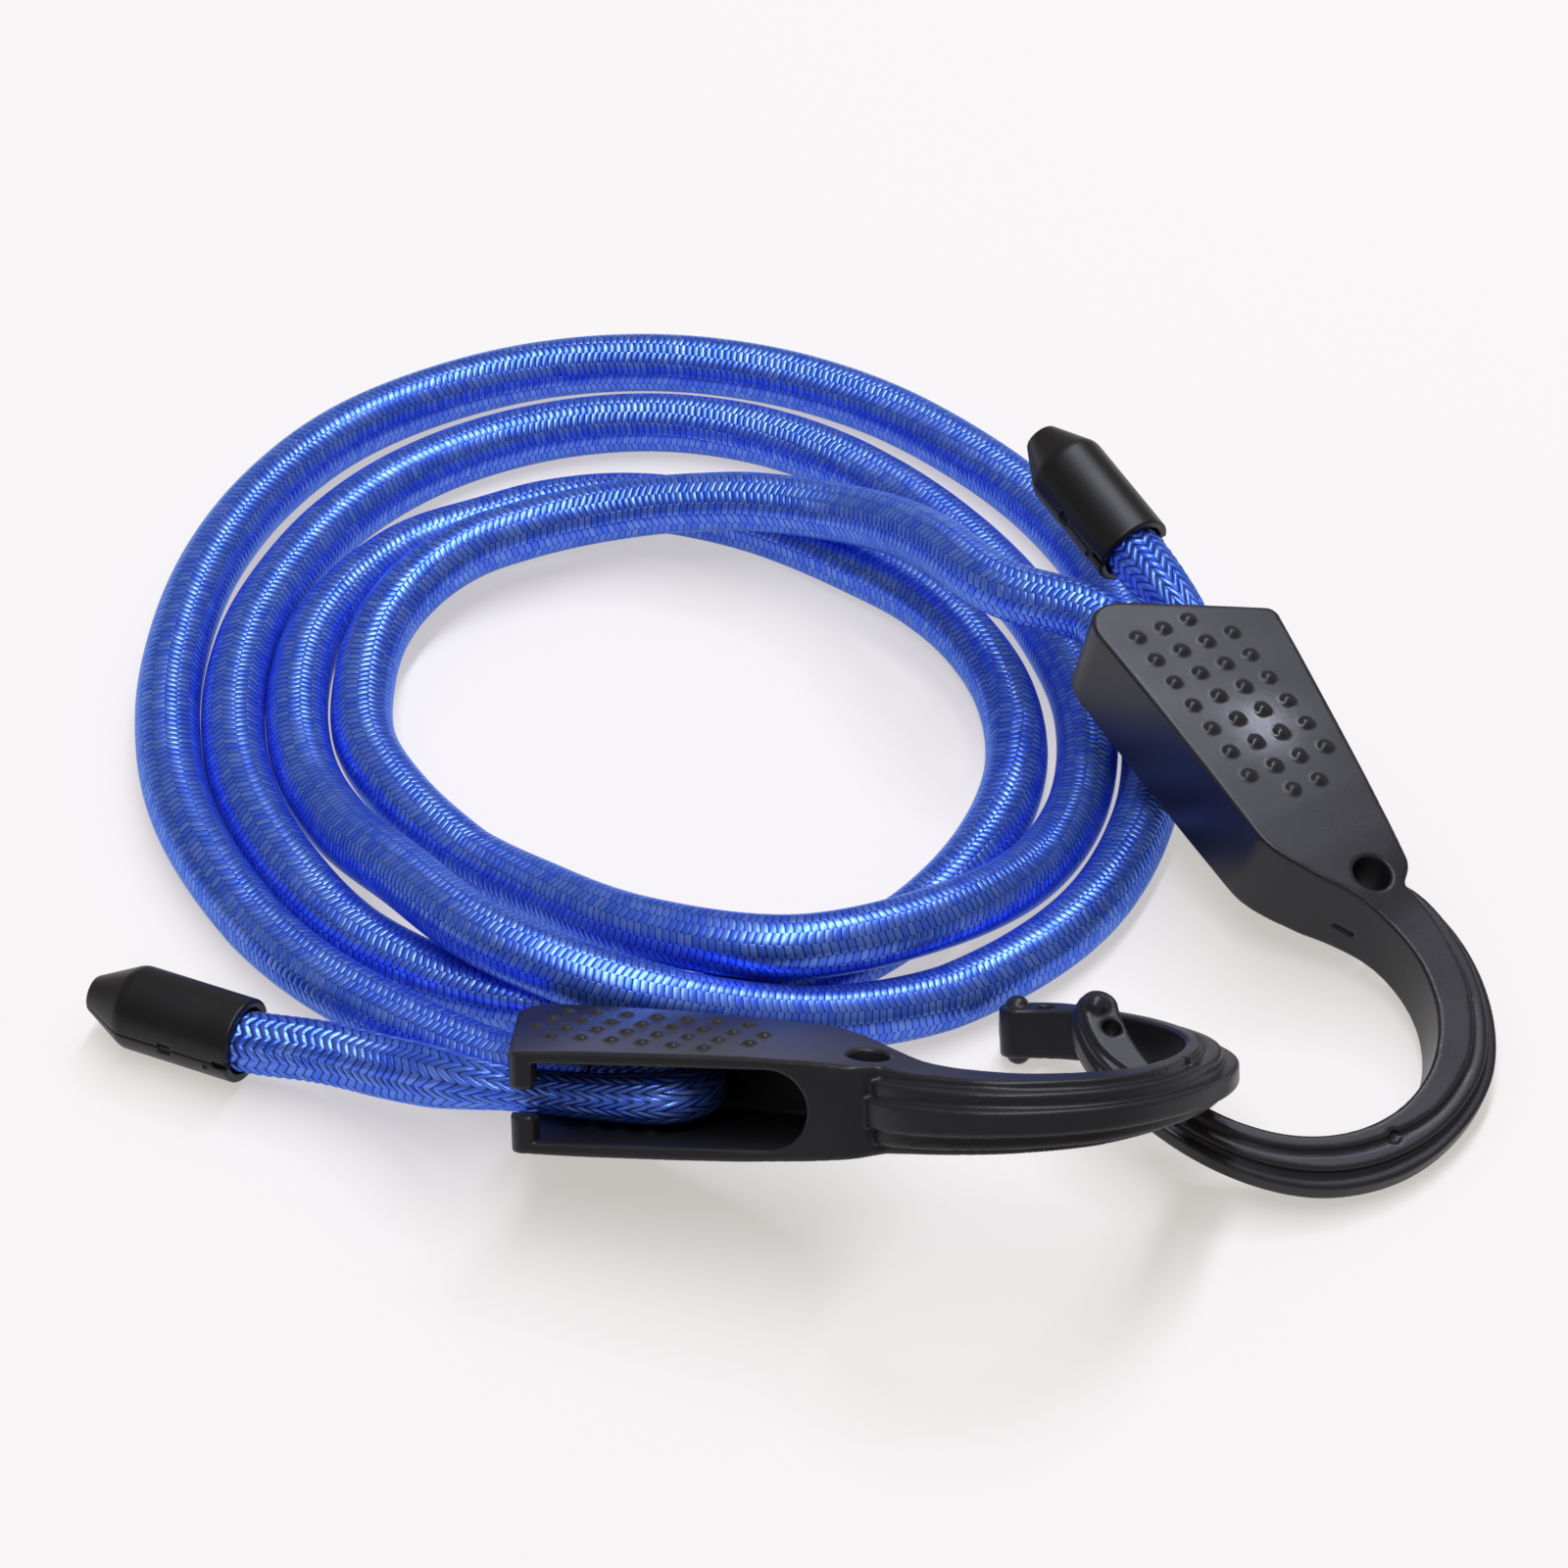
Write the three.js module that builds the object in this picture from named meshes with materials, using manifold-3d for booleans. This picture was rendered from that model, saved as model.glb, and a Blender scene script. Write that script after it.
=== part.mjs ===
// Adjustable bungee cord: one long elastic cord, coiled flat, with a moulded hook and a two-part
// cap at each end. Millimetres, +Z up, standing on z = 0 under the middle of the two hooks.

import * as THREE from 'three';
import { mergeVertices } from 'three/addons/utils/BufferGeometryUtils.js';
import Module from 'manifold-3d';

const wasm = await Module();
wasm.setup();
const { Manifold, Mesh: SolidMesh } = wasm;

// Driving dimensions of the cord
const cord_diameter = 10;
const sheath_wall = 0.9;
const core_gap = 0.4;
const joint_gap = 0.35;

// Driving dimensions of a hook: body along s, width along t, thickness along n
const body_length = 60;
const spine_reach = 18;
const mouth_reach = 13.2;
const body_half = 8.5;
const cavity_half = 6;
const mouth_wall = 2.2;
const ring_radius = 24;
const ring_along = 69.8;
const ring_across = -26.3;
const arm_width = 11.4;
const arm_half = 6.2;

// Driving dimensions of an end cap, along its own axis from the mouth to the nose
const cap_diameter = 13.6;
const cap_length = 27.6;
const cap_pocket = 17.6;

// Small amounts shared by all pieces
const overrun = 3;
const seat = 0.3;

const cord_radius = cord_diameter / 2;
const bore_radius = cord_radius - sheath_wall;
const core_radius = bore_radius - core_gap;
const full_turn = 2 * Math.PI;

// A three.js geometry as a solid, and back again

function solid(geometry) {
  const bare = geometry.index ? geometry.clone() : geometry;
  bare.deleteAttribute('normal');
  bare.deleteAttribute('uv');
  const merged = mergeVertices(bare);
  return new Manifold(new SolidMesh({
    numProp: 3,
    vertProperties: new Float32Array(merged.attributes.position.array),
    triVerts: new Uint32Array(merged.index.array),
  }));
}

function geometryOf(body) {
  const mesh = body.getMesh();
  const geometry = new THREE.BufferGeometry();
  geometry.setAttribute('position', new THREE.BufferAttribute(mesh.vertProperties, 3));
  geometry.setIndex(new THREE.BufferAttribute(mesh.triVerts, 1));
  geometry.computeVertexNormals();
  return geometry;
}

// An outline given by its corners [x, y, radius], each corner rounded by an arc

function outline(corners, arc_steps = 5) {
  const points = [];
  corners.forEach(([x, y, radius], i) => {
    const here = new THREE.Vector2(x, y);
    const before = corners[(i + corners.length - 1) % corners.length];
    const after = corners[(i + 1) % corners.length];
    const back = new THREE.Vector2(before[0], before[1]).sub(here).normalize();
    const ahead = new THREE.Vector2(after[0], after[1]).sub(here).normalize();
    if (radius === 0) {
      points.push(here);
      return;
    }
    const half_angle = Math.acos(THREE.MathUtils.clamp(back.dot(ahead), -1, 1)) / 2;
    const middle = back.clone().add(ahead).normalize();
    const centre = here.clone().addScaledVector(middle, radius / Math.sin(half_angle));
    const reach = radius / Math.tan(half_angle);
    const first = here.clone().addScaledVector(back, reach).sub(centre);
    const last = here.clone().addScaledVector(ahead, reach).sub(centre);
    const start = first.angle();
    let sweep = last.angle() - start;
    if (sweep > Math.PI) sweep -= full_turn;
    if (sweep < -Math.PI) sweep += full_turn;
    for (let k = 0; k <= arc_steps; k += 1) {
      const angle = start + sweep * (k / arc_steps);
      points.push(new THREE.Vector2(
        centre.x + radius * Math.cos(angle),
        centre.y + radius * Math.sin(angle),
      ));
    }
  });
  return new THREE.Shape(points);
}

function prism(shape, depth) {
  return new THREE.ExtrudeGeometry(shape, { depth, bevelEnabled: false, curveSegments: 12 });
}

// A profile drawn in (s, n) and carried from one place across the hook to another

function across(shape, from_t, to_t) {
  const geometry = prism(shape, to_t - from_t);
  geometry.rotateX(Math.PI / 2);
  geometry.translate(0, to_t, 0);
  return solid(geometry);
}

function upright(radius, height, sides = 20) {
  const geometry = new THREE.CylinderGeometry(radius, radius, height, sides);
  geometry.rotateX(Math.PI / 2);
  return geometry;
}

// The hook's arm: a closed skin through cross-sections that stand round the ring's centre.
// Each row is heading in degrees, inner radius, width and half thickness as shares of
// the ring and arm sizes, and the share of the width that is the flat inner band.

const arm_shares = [
  [136, 1.00, 0.80, 1.00, 0.80],
  [124, 1.00, 0.80, 1.00, 0.78],
  [112, 1.00, 0.86, 1.00, 0.75],
  [106, 1.00, 0.97, 0.99, 0.71],
  [99, 1.00, 0.99, 0.98, 0.67],
  [90, 1.00, 0.98, 0.95, 0.60],
  [79, 1.00, 0.95, 0.91, 0.59],
  [68, 1.00, 0.92, 0.87, 0.58],
  [56, 1.00, 0.90, 0.84, 0.56],
  [45, 1.00, 0.88, 0.81, 0.55],
  [33, 1.00, 0.82, 0.77, 0.51],
  [22, 1.00, 0.77, 0.74, 0.48],
  [11, 1.00, 0.75, 0.72, 0.41],
  [0, 1.00, 0.74, 0.71, 0.34],
  [-12, 1.00, 0.72, 0.70, 0.32],
  [-25, 1.00, 0.70, 0.69, 0.30],
  [-37, 1.00, 0.65, 0.68, 0.33],
  [-50, 1.00, 0.60, 0.67, 0.36],
  [-62, 1.01, 0.56, 0.66, 0.39],
  [-75, 1.03, 0.53, 0.66, 0.42],
  [-84, 1.05, 0.55, 0.65, 0.46],
  [-92, 1.07, 0.58, 0.65, 0.55],
  [-102, 1.09, 0.63, 0.64, 0.80],
  [-110, 1.11, 0.62, 0.64, 0.85],
  [-117, 1.12, 0.60, 0.63, 0.85],
];
const tip_round_shares = [0.45, 0.75, 0.95];

// Half of the arm's section, from the inner face to the outermost ridge: how far out
// between the band's edge and the outer face, and the height as a share of the thickness.

const band_edge_share = 0.08;
const inner_face_share = 0.8;
const ridge_shares = [
  [0.25, 0.79],
  [0.5, 0.75],
  [0.62, 0.42],
  [0.82, 0.4],
  [1, 0.18],
];

function armSection(heading, inner, width, half, band) {
  const side = [[0, inner_face_share], [band_edge_share, 1], [band, 1]];
  ridge_shares.forEach(([out, height]) => side.push([band + out * (1 - band), height]));
  const lower = side.map(([out, height]) => [out, -height]).reverse();
  return side.concat(lower).map(([out, height]) => {
    const radius = inner + out * width;
    return new THREE.Vector3(
      ring_along + radius * Math.cos(heading),
      ring_across + radius * Math.sin(heading),
      height * half,
    );
  });
}

function skinOf(rings) {
  const count = rings[0].length;
  const positions = rings.flat().flatMap((point) => point.toArray());
  const faces = [];
  for (let i = 0; i < rings.length - 1; i += 1) {
    for (let k = 0; k < count; k += 1) {
      const next = (k + 1) % count;
      const a = i * count + k;
      const b = i * count + next;
      faces.push(a, a + count, b + count, a, b + count, b);
    }
  }
  const centres = [rings[0], rings[rings.length - 1]].map((ring) => ring
    .reduce((sum, point) => sum.add(point), new THREE.Vector3())
    .divideScalar(count));
  const first_centre = positions.length / 3;
  centres.forEach((centre) => positions.push(...centre.toArray()));
  const last_ring = (rings.length - 1) * count;
  for (let k = 0; k < count; k += 1) {
    const next = (k + 1) % count;
    faces.push(first_centre, k, next);
    faces.push(first_centre + 1, last_ring + next, last_ring + k);
  }
  const geometry = new THREE.BufferGeometry();
  geometry.setAttribute('position', new THREE.Float32BufferAttribute(positions, 3));
  geometry.setIndex(faces);
  return geometry;
}

function hookArm() {
  const rings = arm_shares.map(([degrees, radius, width, half, band]) => armSection(
    THREE.MathUtils.degToRad(degrees),
    radius * ring_radius,
    width * arm_width,
    half * arm_half,
    band,
  ));
  const [degrees, radius, width, half, band] = arm_shares[arm_shares.length - 1];
  const tip_width = width * arm_width;
  const tip_inner = radius * ring_radius;
  const tip_middle = tip_inner + tip_width / 2;
  tip_round_shares.forEach((share) => {
    const narrow = Math.sqrt(1 - share * share);
    const advance = (tip_width / 2) * share / tip_middle;
    rings.push(armSection(
      THREE.MathUtils.degToRad(degrees) - advance,
      tip_middle - narrow * tip_width / 2,
      narrow * tip_width,
      half * arm_half * (1 + narrow) / 2,
      band,
    ));
  });
  return solid(skinOf(rings));
}

// The hook's body: an outline in (s, t) as thick as the side profile in (s, n) says.
// The wide end is slanted, and the neck runs on into the arm.

const wide_end_share = -0.175;
const spine_corner_share = 0.087;
const nub_share = 0.96;
const nub_rise_share = 0.39;
const notch_share = 1.0;
const notch_rise_share = 0.29;
const wide_corner_radius = 8;
const spine_corner_radius = 1.5;
const body_half_shares = [
  [-0.2, 0.92],
  [-0.1, 0.95],
  [0.05, 0.98],
  [0.25, 1],
  [0.5, 0.99],
  [0.67, 0.965],
  [0.83, 0.91],
  [0.95, 0.85],
  [1.1, 0.74],
];

function hookBody() {
  const plan = outline([
    [wide_end_share * body_length, -mouth_reach, wide_corner_radius],
    [ring_along - ring_radius / 3, -mouth_reach, 0],
    [ring_along - ring_radius / 4, ring_across + ring_radius, 0],
    [notch_share * body_length, notch_rise_share * spine_reach, 0],
    [nub_share * body_length, nub_rise_share * spine_reach, 0],
    [spine_corner_share * body_length, spine_reach, spine_corner_radius],
  ]);
  const slab = prism(plan, 2 * (body_half + overrun));
  slab.translate(0, 0, -(body_half + overrun));
  const upper = body_half_shares.map(([along, half]) => [along * body_length, half * body_half]);
  const lower = upper.map(([along, half]) => [along, -half]).reverse();
  const side = new THREE.Shape(lower.concat(upper)
    .map(([along, half]) => new THREE.Vector2(along, half)));
  const profile = across(side, -mouth_reach - overrun, spine_reach + overrun);
  const throat = solid(upright(ring_radius, 2 * (body_half + overrun), 72)
    .translate(ring_along, ring_across, 0));
  return solid(slab).intersect(profile).subtract(throat);
}

// Grip dots on both faces, in four slanting rows

const dot_pitch = 5.2;
const dot_row_pitch = 5.8;
const dot_slant = THREE.MathUtils.degToRad(28.4);
const dot_radius = 1.15;
const dot_height = 0.5;
const dot_top_share = 0.6;
const dot_rows = [
  { row: -1.5, first: 1, count: 7 },
  { row: -0.5, first: 0.5, count: 8 },
  { row: 0.5, first: 0, count: 8 },
  { row: 1.5, first: 0.5, count: 6 },
];

function bodyHalfAt(along) {
  const table = body_half_shares.map(([share, half]) => [share * body_length, half * body_half]);
  const after = table.findIndex(([place]) => place > along);
  const [low, high] = [table[after - 1], table[after]];
  return THREE.MathUtils.mapLinear(along, low[0], high[0], low[1], high[1]);
}

function dome(radius, height, sides = 6) {
  const geometry = new THREE.CylinderGeometry(dot_top_share * radius, radius, height + seat, sides);
  geometry.rotateX(Math.PI / 2);
  geometry.translate(0, 0, (height - seat) / 2);
  return geometry;
}

function facing(geometry, side) {
  if (side < 0) geometry.rotateX(Math.PI);
  return geometry;
}

function gripDots() {
  const dots = [];
  dot_rows.forEach(({ row, first, count }) => {
    for (let i = 0; i < count; i += 1) {
      const along = (first + i) * dot_pitch + row * dot_row_pitch * Math.sin(dot_slant);
      const beside = row * dot_row_pitch * Math.cos(dot_slant);
      [1, -1].forEach((side) => {
        const dot = facing(dome(dot_radius, dot_height), side);
        dot.translate(along, beside, side * bodyHalfAt(along));
        dots.push(solid(dot));
      });
    }
  });
  return Manifold.union(dots);
}

// The cavity that the folded cord lies in. It is open along the spine, through the slot with
// a round end, and at the wide end. There the wall goes on round the corner but for a round
// hole where the cord comes in. Two lips narrow the slot's mouth.

const cavity_end_share = 0.833;
const exit_floor = -1.6;
const hole_sides = 32;
const lip_share = 0.142;
const lip_depth = 3.2;
const lip_gap_half = 2;

function cavity() {
  const far = cavity_end_share * body_length;
  const open_end = -body_length / 2;
  const long_slot = (start, half) => {
    const shape = new THREE.Shape();
    shape.moveTo(start, -half);
    shape.lineTo(far - half, -half);
    shape.absarc(far - half, 0, half, -Math.PI / 2, Math.PI / 2, false);
    shape.lineTo(start, half);
    shape.closePath();
    return shape;
  };
  const inside = spine_reach - lip_depth;
  const floor_t = mouth_wall - mouth_reach;
  const length_along = (spine_corner_share - wide_end_share) * body_length;
  const slope = new THREE.Vector2(length_along, spine_reach + mouth_reach).angle();
  const corner = wide_end_share * body_length + mouth_wall / Math.tan(slope / 2);
  const plan = prism(outline([
    [corner, floor_t, wide_corner_radius - mouth_wall],
    [far, floor_t, 0],
    [far, inside, 0],
    [corner + (inside - floor_t) / Math.tan(slope), inside, 0],
  ]), 2 * (cavity_half + overrun));
  plan.translate(0, 0, -(cavity_half + overrun));
  const room = across(long_slot(open_end, cavity_half), floor_t, inside).intersect(solid(plan));
  const exit = across(long_slot(open_end, cavity_half), exit_floor, inside);
  const way_in = upright(cord_radius + joint_gap, body_length / 2, hole_sides);
  way_in.rotateY(Math.PI / 2);
  way_in.translate(wide_corner_radius - body_length / 4, -leg_across, 0);
  const slot = across(long_slot(lip_share * body_length, cavity_half), inside - seat, spine_reach + overrun);
  const lips = across(long_slot(open_end, lip_gap_half), inside - seat, spine_reach + overrun);
  return Manifold.union([room, exit, solid(way_in), slot, lips]);
}

// Three slanting teeth on each inner face grip the cord

const tooth_height = 0.6;
const tooth_width = 2.4;
const tooth_length = 16;
const tooth_slant = THREE.MathUtils.degToRad(60);
const tooth_place_shares = [0.16, 0.24, 0.32];

function gripTeeth() {
  const teeth = [];
  const shape = new THREE.Shape([
    new THREE.Vector2(-tooth_width / 2, seat),
    new THREE.Vector2(-tooth_width / 2, 0),
    new THREE.Vector2(0, -tooth_height),
    new THREE.Vector2(tooth_width / 2, 0),
    new THREE.Vector2(tooth_width / 2, seat),
  ]);
  tooth_place_shares.forEach((share) => {
    [1, -1].forEach((side) => {
      const tooth = prism(shape, tooth_length);
      tooth.translate(0, 0, -tooth_length / 2);
      tooth.rotateX(Math.PI / 2);
      tooth.rotateZ(tooth_slant - Math.PI / 2);
      facing(tooth, side);
      tooth.translate(share * body_length, 0, side * cavity_half);
      teeth.push(solid(tooth));
    });
  });
  return Manifold.union(teeth);
}

// Holes and knobs of the neck, arm and tip: [heading, radius share], on the ring's centre

const neck_hole_radius = 3.15;
const neck_hole_share = 0.938;
const arm_dimple_radius = 1;
const arm_dimple_depth = 1.5;
const arm_dimple_half_share = 0.71;
const arm_dimple_place = { heading: THREE.MathUtils.degToRad(2.3), share: 1.135 };
const tip_hole_radius = 1.5;
const tip_hole_place = { heading: THREE.MathUtils.degToRad(-108.5), share: 1.2 };
const tip_knob_radius = 1.85;
const tip_knob_height = 0.9;
const tip_knob_place = { heading: THREE.MathUtils.degToRad(-117), share: 1.265 };
const tip_half_share = 0.63;

function onRing({ heading, share }) {
  const radius = share * ring_radius;
  return [ring_along + radius * Math.cos(heading), ring_across + radius * Math.sin(heading)];
}

function hookGeometry() {
  const through = 2 * (body_half + overrun);
  const cuts = [
    cavity(),
    solid(upright(neck_hole_radius, through).translate(neck_hole_share * body_length, 0, 0)),
    solid(upright(tip_hole_radius, through, 12).translate(...onRing(tip_hole_place), 0)),
  ];
  [1, -1].forEach((side) => {
    const dimple = upright(arm_dimple_radius, 2 * arm_dimple_depth, 10);
    dimple.translate(...onRing(arm_dimple_place), side * arm_dimple_half_share * arm_half);
    cuts.push(solid(dimple));
  });
  const knobs = [1, -1].map((side) => solid(
    facing(dome(tip_knob_radius, tip_knob_height, 10), side)
      .translate(...onRing(tip_knob_place), side * tip_half_share * arm_half),
  ));
  const shell = Manifold.union([hookBody(), hookArm()]).subtract(Manifold.union(cuts));
  const teeth = gripTeeth().intersect(hookBody());
  return geometryOf(Manifold.union([shell, gripDots(), teeth, ...knobs]));
}

// The end cap: two halves that close round the cord's end and hold by a pair of pegs

const nose_length = 7.6;
const nose_diameter = 5.8;
const cap_split = 0.3;
const peg_radius = 1.2;
const peg_height = 2.4;
const peg_clearance = 0.3;
const peg_spread_share = 0.26;
const peg_place_share = 0.72;
const cap_sides = 24;

function capRound() {
  const radius = cap_diameter / 2;
  const pocket_radius = cord_radius + joint_gap;
  const profile = [
    [0, cap_pocket],
    [pocket_radius, cap_pocket],
    [pocket_radius, 0],
    [radius, 0],
    [radius, cap_length - nose_length],
    [nose_diameter / 2, cap_length],
    [0, cap_length],
  ].map(([x, y]) => new THREE.Vector2(x, y));
  const geometry = new THREE.LatheGeometry(profile, cap_sides);
  geometry.rotateZ(-Math.PI / 2);
  return solid(geometry);
}

function capPegs(radius, height) {
  const pegs = [1, -1].map((side) => {
    const peg = upright(radius, 2 * height, 10);
    peg.translate(peg_place_share * cap_length, side * peg_spread_share * cap_diameter, 0);
    return solid(peg);
  });
  return Manifold.union(pegs);
}

function capHalf(side) {
  const block = new THREE.BoxGeometry(2 * cap_length, 2 * cap_diameter, cap_diameter);
  block.translate(cap_length / 2, 0, side * (cap_diameter + cap_split) / 2);
  return capRound().intersect(solid(block));
}

function capBaseGeometry() {
  const base = capHalf(-1);
  const pegs = capPegs(peg_radius, peg_height).intersect(capRound());
  return geometryOf(base.add(pegs));
}

function capLidGeometry() {
  return geometryOf(capHalf(1).subtract(capPegs(peg_radius + peg_clearance, peg_height + peg_clearance)));
}

// Where the hooks and caps lie

function poseOf({ place = [0, 0, 0], along, beside }) {
  const s = new THREE.Vector3(...along).normalize();
  const n = s.clone().cross(new THREE.Vector3(...beside)).normalize();
  const t = n.clone().cross(s);
  return new THREE.Matrix4().makeBasis(s, t, n).setPosition(...place);
}

const right_hook_place = [26.3, 57.5, 27.4];
const left_cap_place = [-119.1, -14.2, 7.6];

// The hooks are linked: how far the left ring's centre stands from the right ring's
const ring_link_shares = [-1.688, -0.891, 0.412];

const right_hook_pose = poseOf({
  place: right_hook_place,
  along: [0.535, -0.808, -0.245],
  beside: [0.828, 0.559, -0.037],
});
const left_hook_pose = poseOf({
  along: [0.89, -0.373, 0.262],
  beside: [-0.455, -0.766, 0.454],
});
const right_ring_centre = onHook(right_hook_pose, ring_along, ring_across);
const ring_link = new THREE.Vector3(...ring_link_shares).multiplyScalar(ring_radius);
left_hook_pose.setPosition(right_ring_centre.add(ring_link)
  .sub(onHook(left_hook_pose, ring_along, ring_across)));

const leg_across = 5.5;
const leg_seam = 8;
const leg_turn = 21.5;
const leg_leaves = -10;
const tail_across = 8.5;
const tail_leaves = -6;

function onHook(pose, along, beside, up = 0) {
  return new THREE.Vector3(along, beside, up).applyMatrix4(pose);
}

// The coil, as headings clockwise from +Y about its centre. Every turn has its radii,
// 24 to the turn, as shares of the coil's radius. It lies on the floor but for the humps
// where it crosses itself and the climbs at its ends.

const coil_radius = 100;
const coil_centre = { x: -57.3, y: 87.7 };
const steps_per_turn = 24;
const first_heading = 210;
const turn_radius_shares = [
  1.010, 0.942, 0.892, 0.845, 0.813, 0.802, 0.803, 0.809, 0.805, 0.802, 0.794, 0.780,
  0.765, 0.754, 0.761, 0.781, 0.813, 0.866, 0.936, 0.994, 1.014, 1.010, 0.984, 0.912,
  0.790, 0.715, 0.668, 0.623, 0.584, 0.539, 0.493, 0.437, 0.411, 0.391, 0.375, 0.362,
  0.361, 0.372, 0.402, 0.461, 0.534, 0.616, 0.698, 0.768, 0.834, 0.892, 0.924, 0.922,
  0.890, 0.830, 0.780, 0.733, 0.695, 0.664, 0.647, 0.635, 0.625, 0.618, 0.612, 0.602,
  0.591, 0.586, 0.596, 0.626, 0.677, 0.750, 0.821, 0.882, 0.924, 0.929, 0.827, 0.698,
  0.628, 0.585, 0.554, 0.509, 0.470, 0.424, 0.376, 0.333, 0.310, 0.296, 0.288, 0.287,
  0.302, 0.333, 0.373, 0.418, 0.478, 0.600,
];
const humps = [
  { heading: 190, height: 5, reach: 36 },
  { heading: 553, height: 11.5, reach: 44 },
  { heading: 1245, height: 11.4, reach: 46 },
];
const climbs = [
  { from: 1320, to: 1390, height: 5.2 },
  { from: 1410, to: 1500, height: 6 },
  { from: 1485, to: 1555, height: 13.5 },
];

function coilPoint(index) {
  const degrees = first_heading + index * 360 / steps_per_turn;
  const heading = THREE.MathUtils.degToRad(degrees);
  const radius = turn_radius_shares[index] * coil_radius;
  let height = cord_radius;
  humps.forEach((hump) => {
    const away = Math.min(1, Math.abs(degrees - hump.heading) / hump.reach);
    height += hump.height * Math.cos(away * Math.PI / 2) ** 2;
  });
  climbs.forEach((climb) => {
    height += climb.height * THREE.MathUtils.smoothstep(degrees, climb.from, climb.to);
  });
  return new THREE.Vector3(
    coil_centre.x + radius * Math.sin(heading),
    coil_centre.y + radius * Math.cos(heading),
    height,
  );
}

function coilRoute() {
  return [
    onHook(left_hook_pose, leg_seam, -leg_across),
    onHook(left_hook_pose, leg_leaves + cord_radius, -leg_across),
    onHook(left_hook_pose, leg_leaves, -leg_across),
    ...turn_radius_shares.map((share, index) => coilPoint(index)),
    onHook(right_hook_pose, leg_leaves, -leg_across),
    onHook(right_hook_pose, leg_leaves + cord_radius, -leg_across),
    onHook(right_hook_pose, leg_seam, -leg_across),
  ];
}

// A section of a tube at each point of a route, with its first corner upward

function ringsAlong(route, radius, sides) {
  return route.map((point, i) => {
    const before = route[Math.max(0, i - 1)];
    const after = route[Math.min(route.length - 1, i + 1)];
    const ahead = after.clone().sub(before).normalize();
    const beside = ahead.clone().cross(new THREE.Vector3(0, 0, 1)).normalize();
    const up = beside.clone().cross(ahead);
    return Array.from({ length: sides }, (unused, k) => {
      const angle = full_turn * k / sides;
      return point.clone()
        .addScaledVector(up, radius * Math.cos(angle))
        .addScaledVector(beside, -radius * Math.sin(angle));
    });
  });
}

function rodAlong(route, radius, sides) {
  return skinOf(ringsAlong(route, radius, sides));
}

function pipeAlong(route, radius, bore, sides) {
  const outer = ringsAlong(route, radius, sides);
  const inner = ringsAlong(route, bore, sides);
  const rings = outer.map((ring, i) => ring.concat(inner[i]));
  const positions = rings.flat().flatMap((point) => point.toArray());
  const stride = 2 * sides;
  const faces = [];
  const quad = (a, b, c, d) => faces.push(a, b, c, a, c, d);
  for (let i = 0; i < rings.length - 1; i += 1) {
    for (let k = 0; k < sides; k += 1) {
      const a = i * stride + k;
      const b = i * stride + (k + 1) % sides;
      quad(a, a + stride, b + stride, b);
      quad(a + sides, b + sides, b + sides + stride, a + sides + stride);
    }
  }
  const last = (rings.length - 1) * stride;
  for (let k = 0; k < sides; k += 1) {
    const next = (k + 1) % sides;
    quad(k, next, next + sides, k + sides);
    quad(last + k, last + k + sides, last + next + sides, last + next);
  }
  const geometry = new THREE.BufferGeometry();
  geometry.setAttribute('position', new THREE.Float32BufferAttribute(positions, 3));
  geometry.setIndex(faces);
  return geometry;
}

// The least distance between two stretches of the coil that aren't neighbours

function leastGap(route) {
  const curve = new THREE.CatmullRomCurve3(route);
  const points = curve.getPoints(route.length * 3);
  const apart = Math.ceil(points.length / (route.length / steps_per_turn) / 4);
  let least = Infinity;
  points.forEach((point, i) => {
    for (let k = i + apart; k < points.length; k += 1) {
      least = Math.min(least, point.distanceTo(points[k]));
    }
  });
  return least - cord_diameter;
}

// The tails: from the seam in the hook, round the fold and out again to the cap

const tail_sides = 8;
const tail_step = 3.6;
const fold_steps = 4;

function foldPoints(pose) {
  const points = [
    onHook(pose, leg_seam + joint_gap, -leg_across),
    onHook(pose, leg_seam + joint_gap + cord_radius, -leg_across),
    onHook(pose, leg_turn, -leg_across),
  ];
  for (let k = 1; k < fold_steps; k += 1) {
    const angle = Math.PI * k / fold_steps;
    points.push(onHook(
      pose,
      leg_turn + leg_across * Math.sin(angle),
      -leg_across * Math.cos(angle),
    ));
  }
  points.push(onHook(pose, leg_turn, leg_across));
  points.push(onHook(pose, leg_seam, (leg_across + tail_across) / 2));
  return points;
}

const cap_entry = cap_pocket - joint_gap;

function capRoute(cap_pose) {
  return [
    onHook(cap_pose, 0, 0),
    onHook(cap_pose, cord_radius, 0),
    onHook(cap_pose, cap_entry - cord_radius, 0),
    onHook(cap_pose, cap_entry, 0),
  ];
}

const right_tail_free = 13.5;
const right_cap_pose = poseOf({
  place: onHook(right_hook_pose, tail_leaves - right_tail_free, tail_across).toArray(),
  along: [-0.535, 0.808, 0.245],
  beside: [-0.828, -0.559, 0.037],
});
const left_cap_pose = poseOf({
  place: left_cap_place,
  along: [-0.9, 0.43, -0.035],
  beside: [-0.43, -0.9, 0],
});
const left_tail_points = [
  [-95.7, -24, 11.3],
  [-106.9, -18, 8.9],
].map((point) => new THREE.Vector3(...point));

const left_tail_route = [
  ...foldPoints(left_hook_pose),
  onHook(left_hook_pose, tail_leaves, tail_across),
  ...left_tail_points,
  ...capRoute(left_cap_pose),
];
const right_tail_route = [
  ...foldPoints(right_hook_pose),
  onHook(right_hook_pose, tail_leaves, tail_across),
  ...capRoute(right_cap_pose),
];

function smooth(route, step) {
  const curve = new THREE.CatmullRomCurve3(route, false, 'centripetal');
  return curve.getSpacedPoints(Math.round(curve.getLength() / step));
}

// Materials

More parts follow.
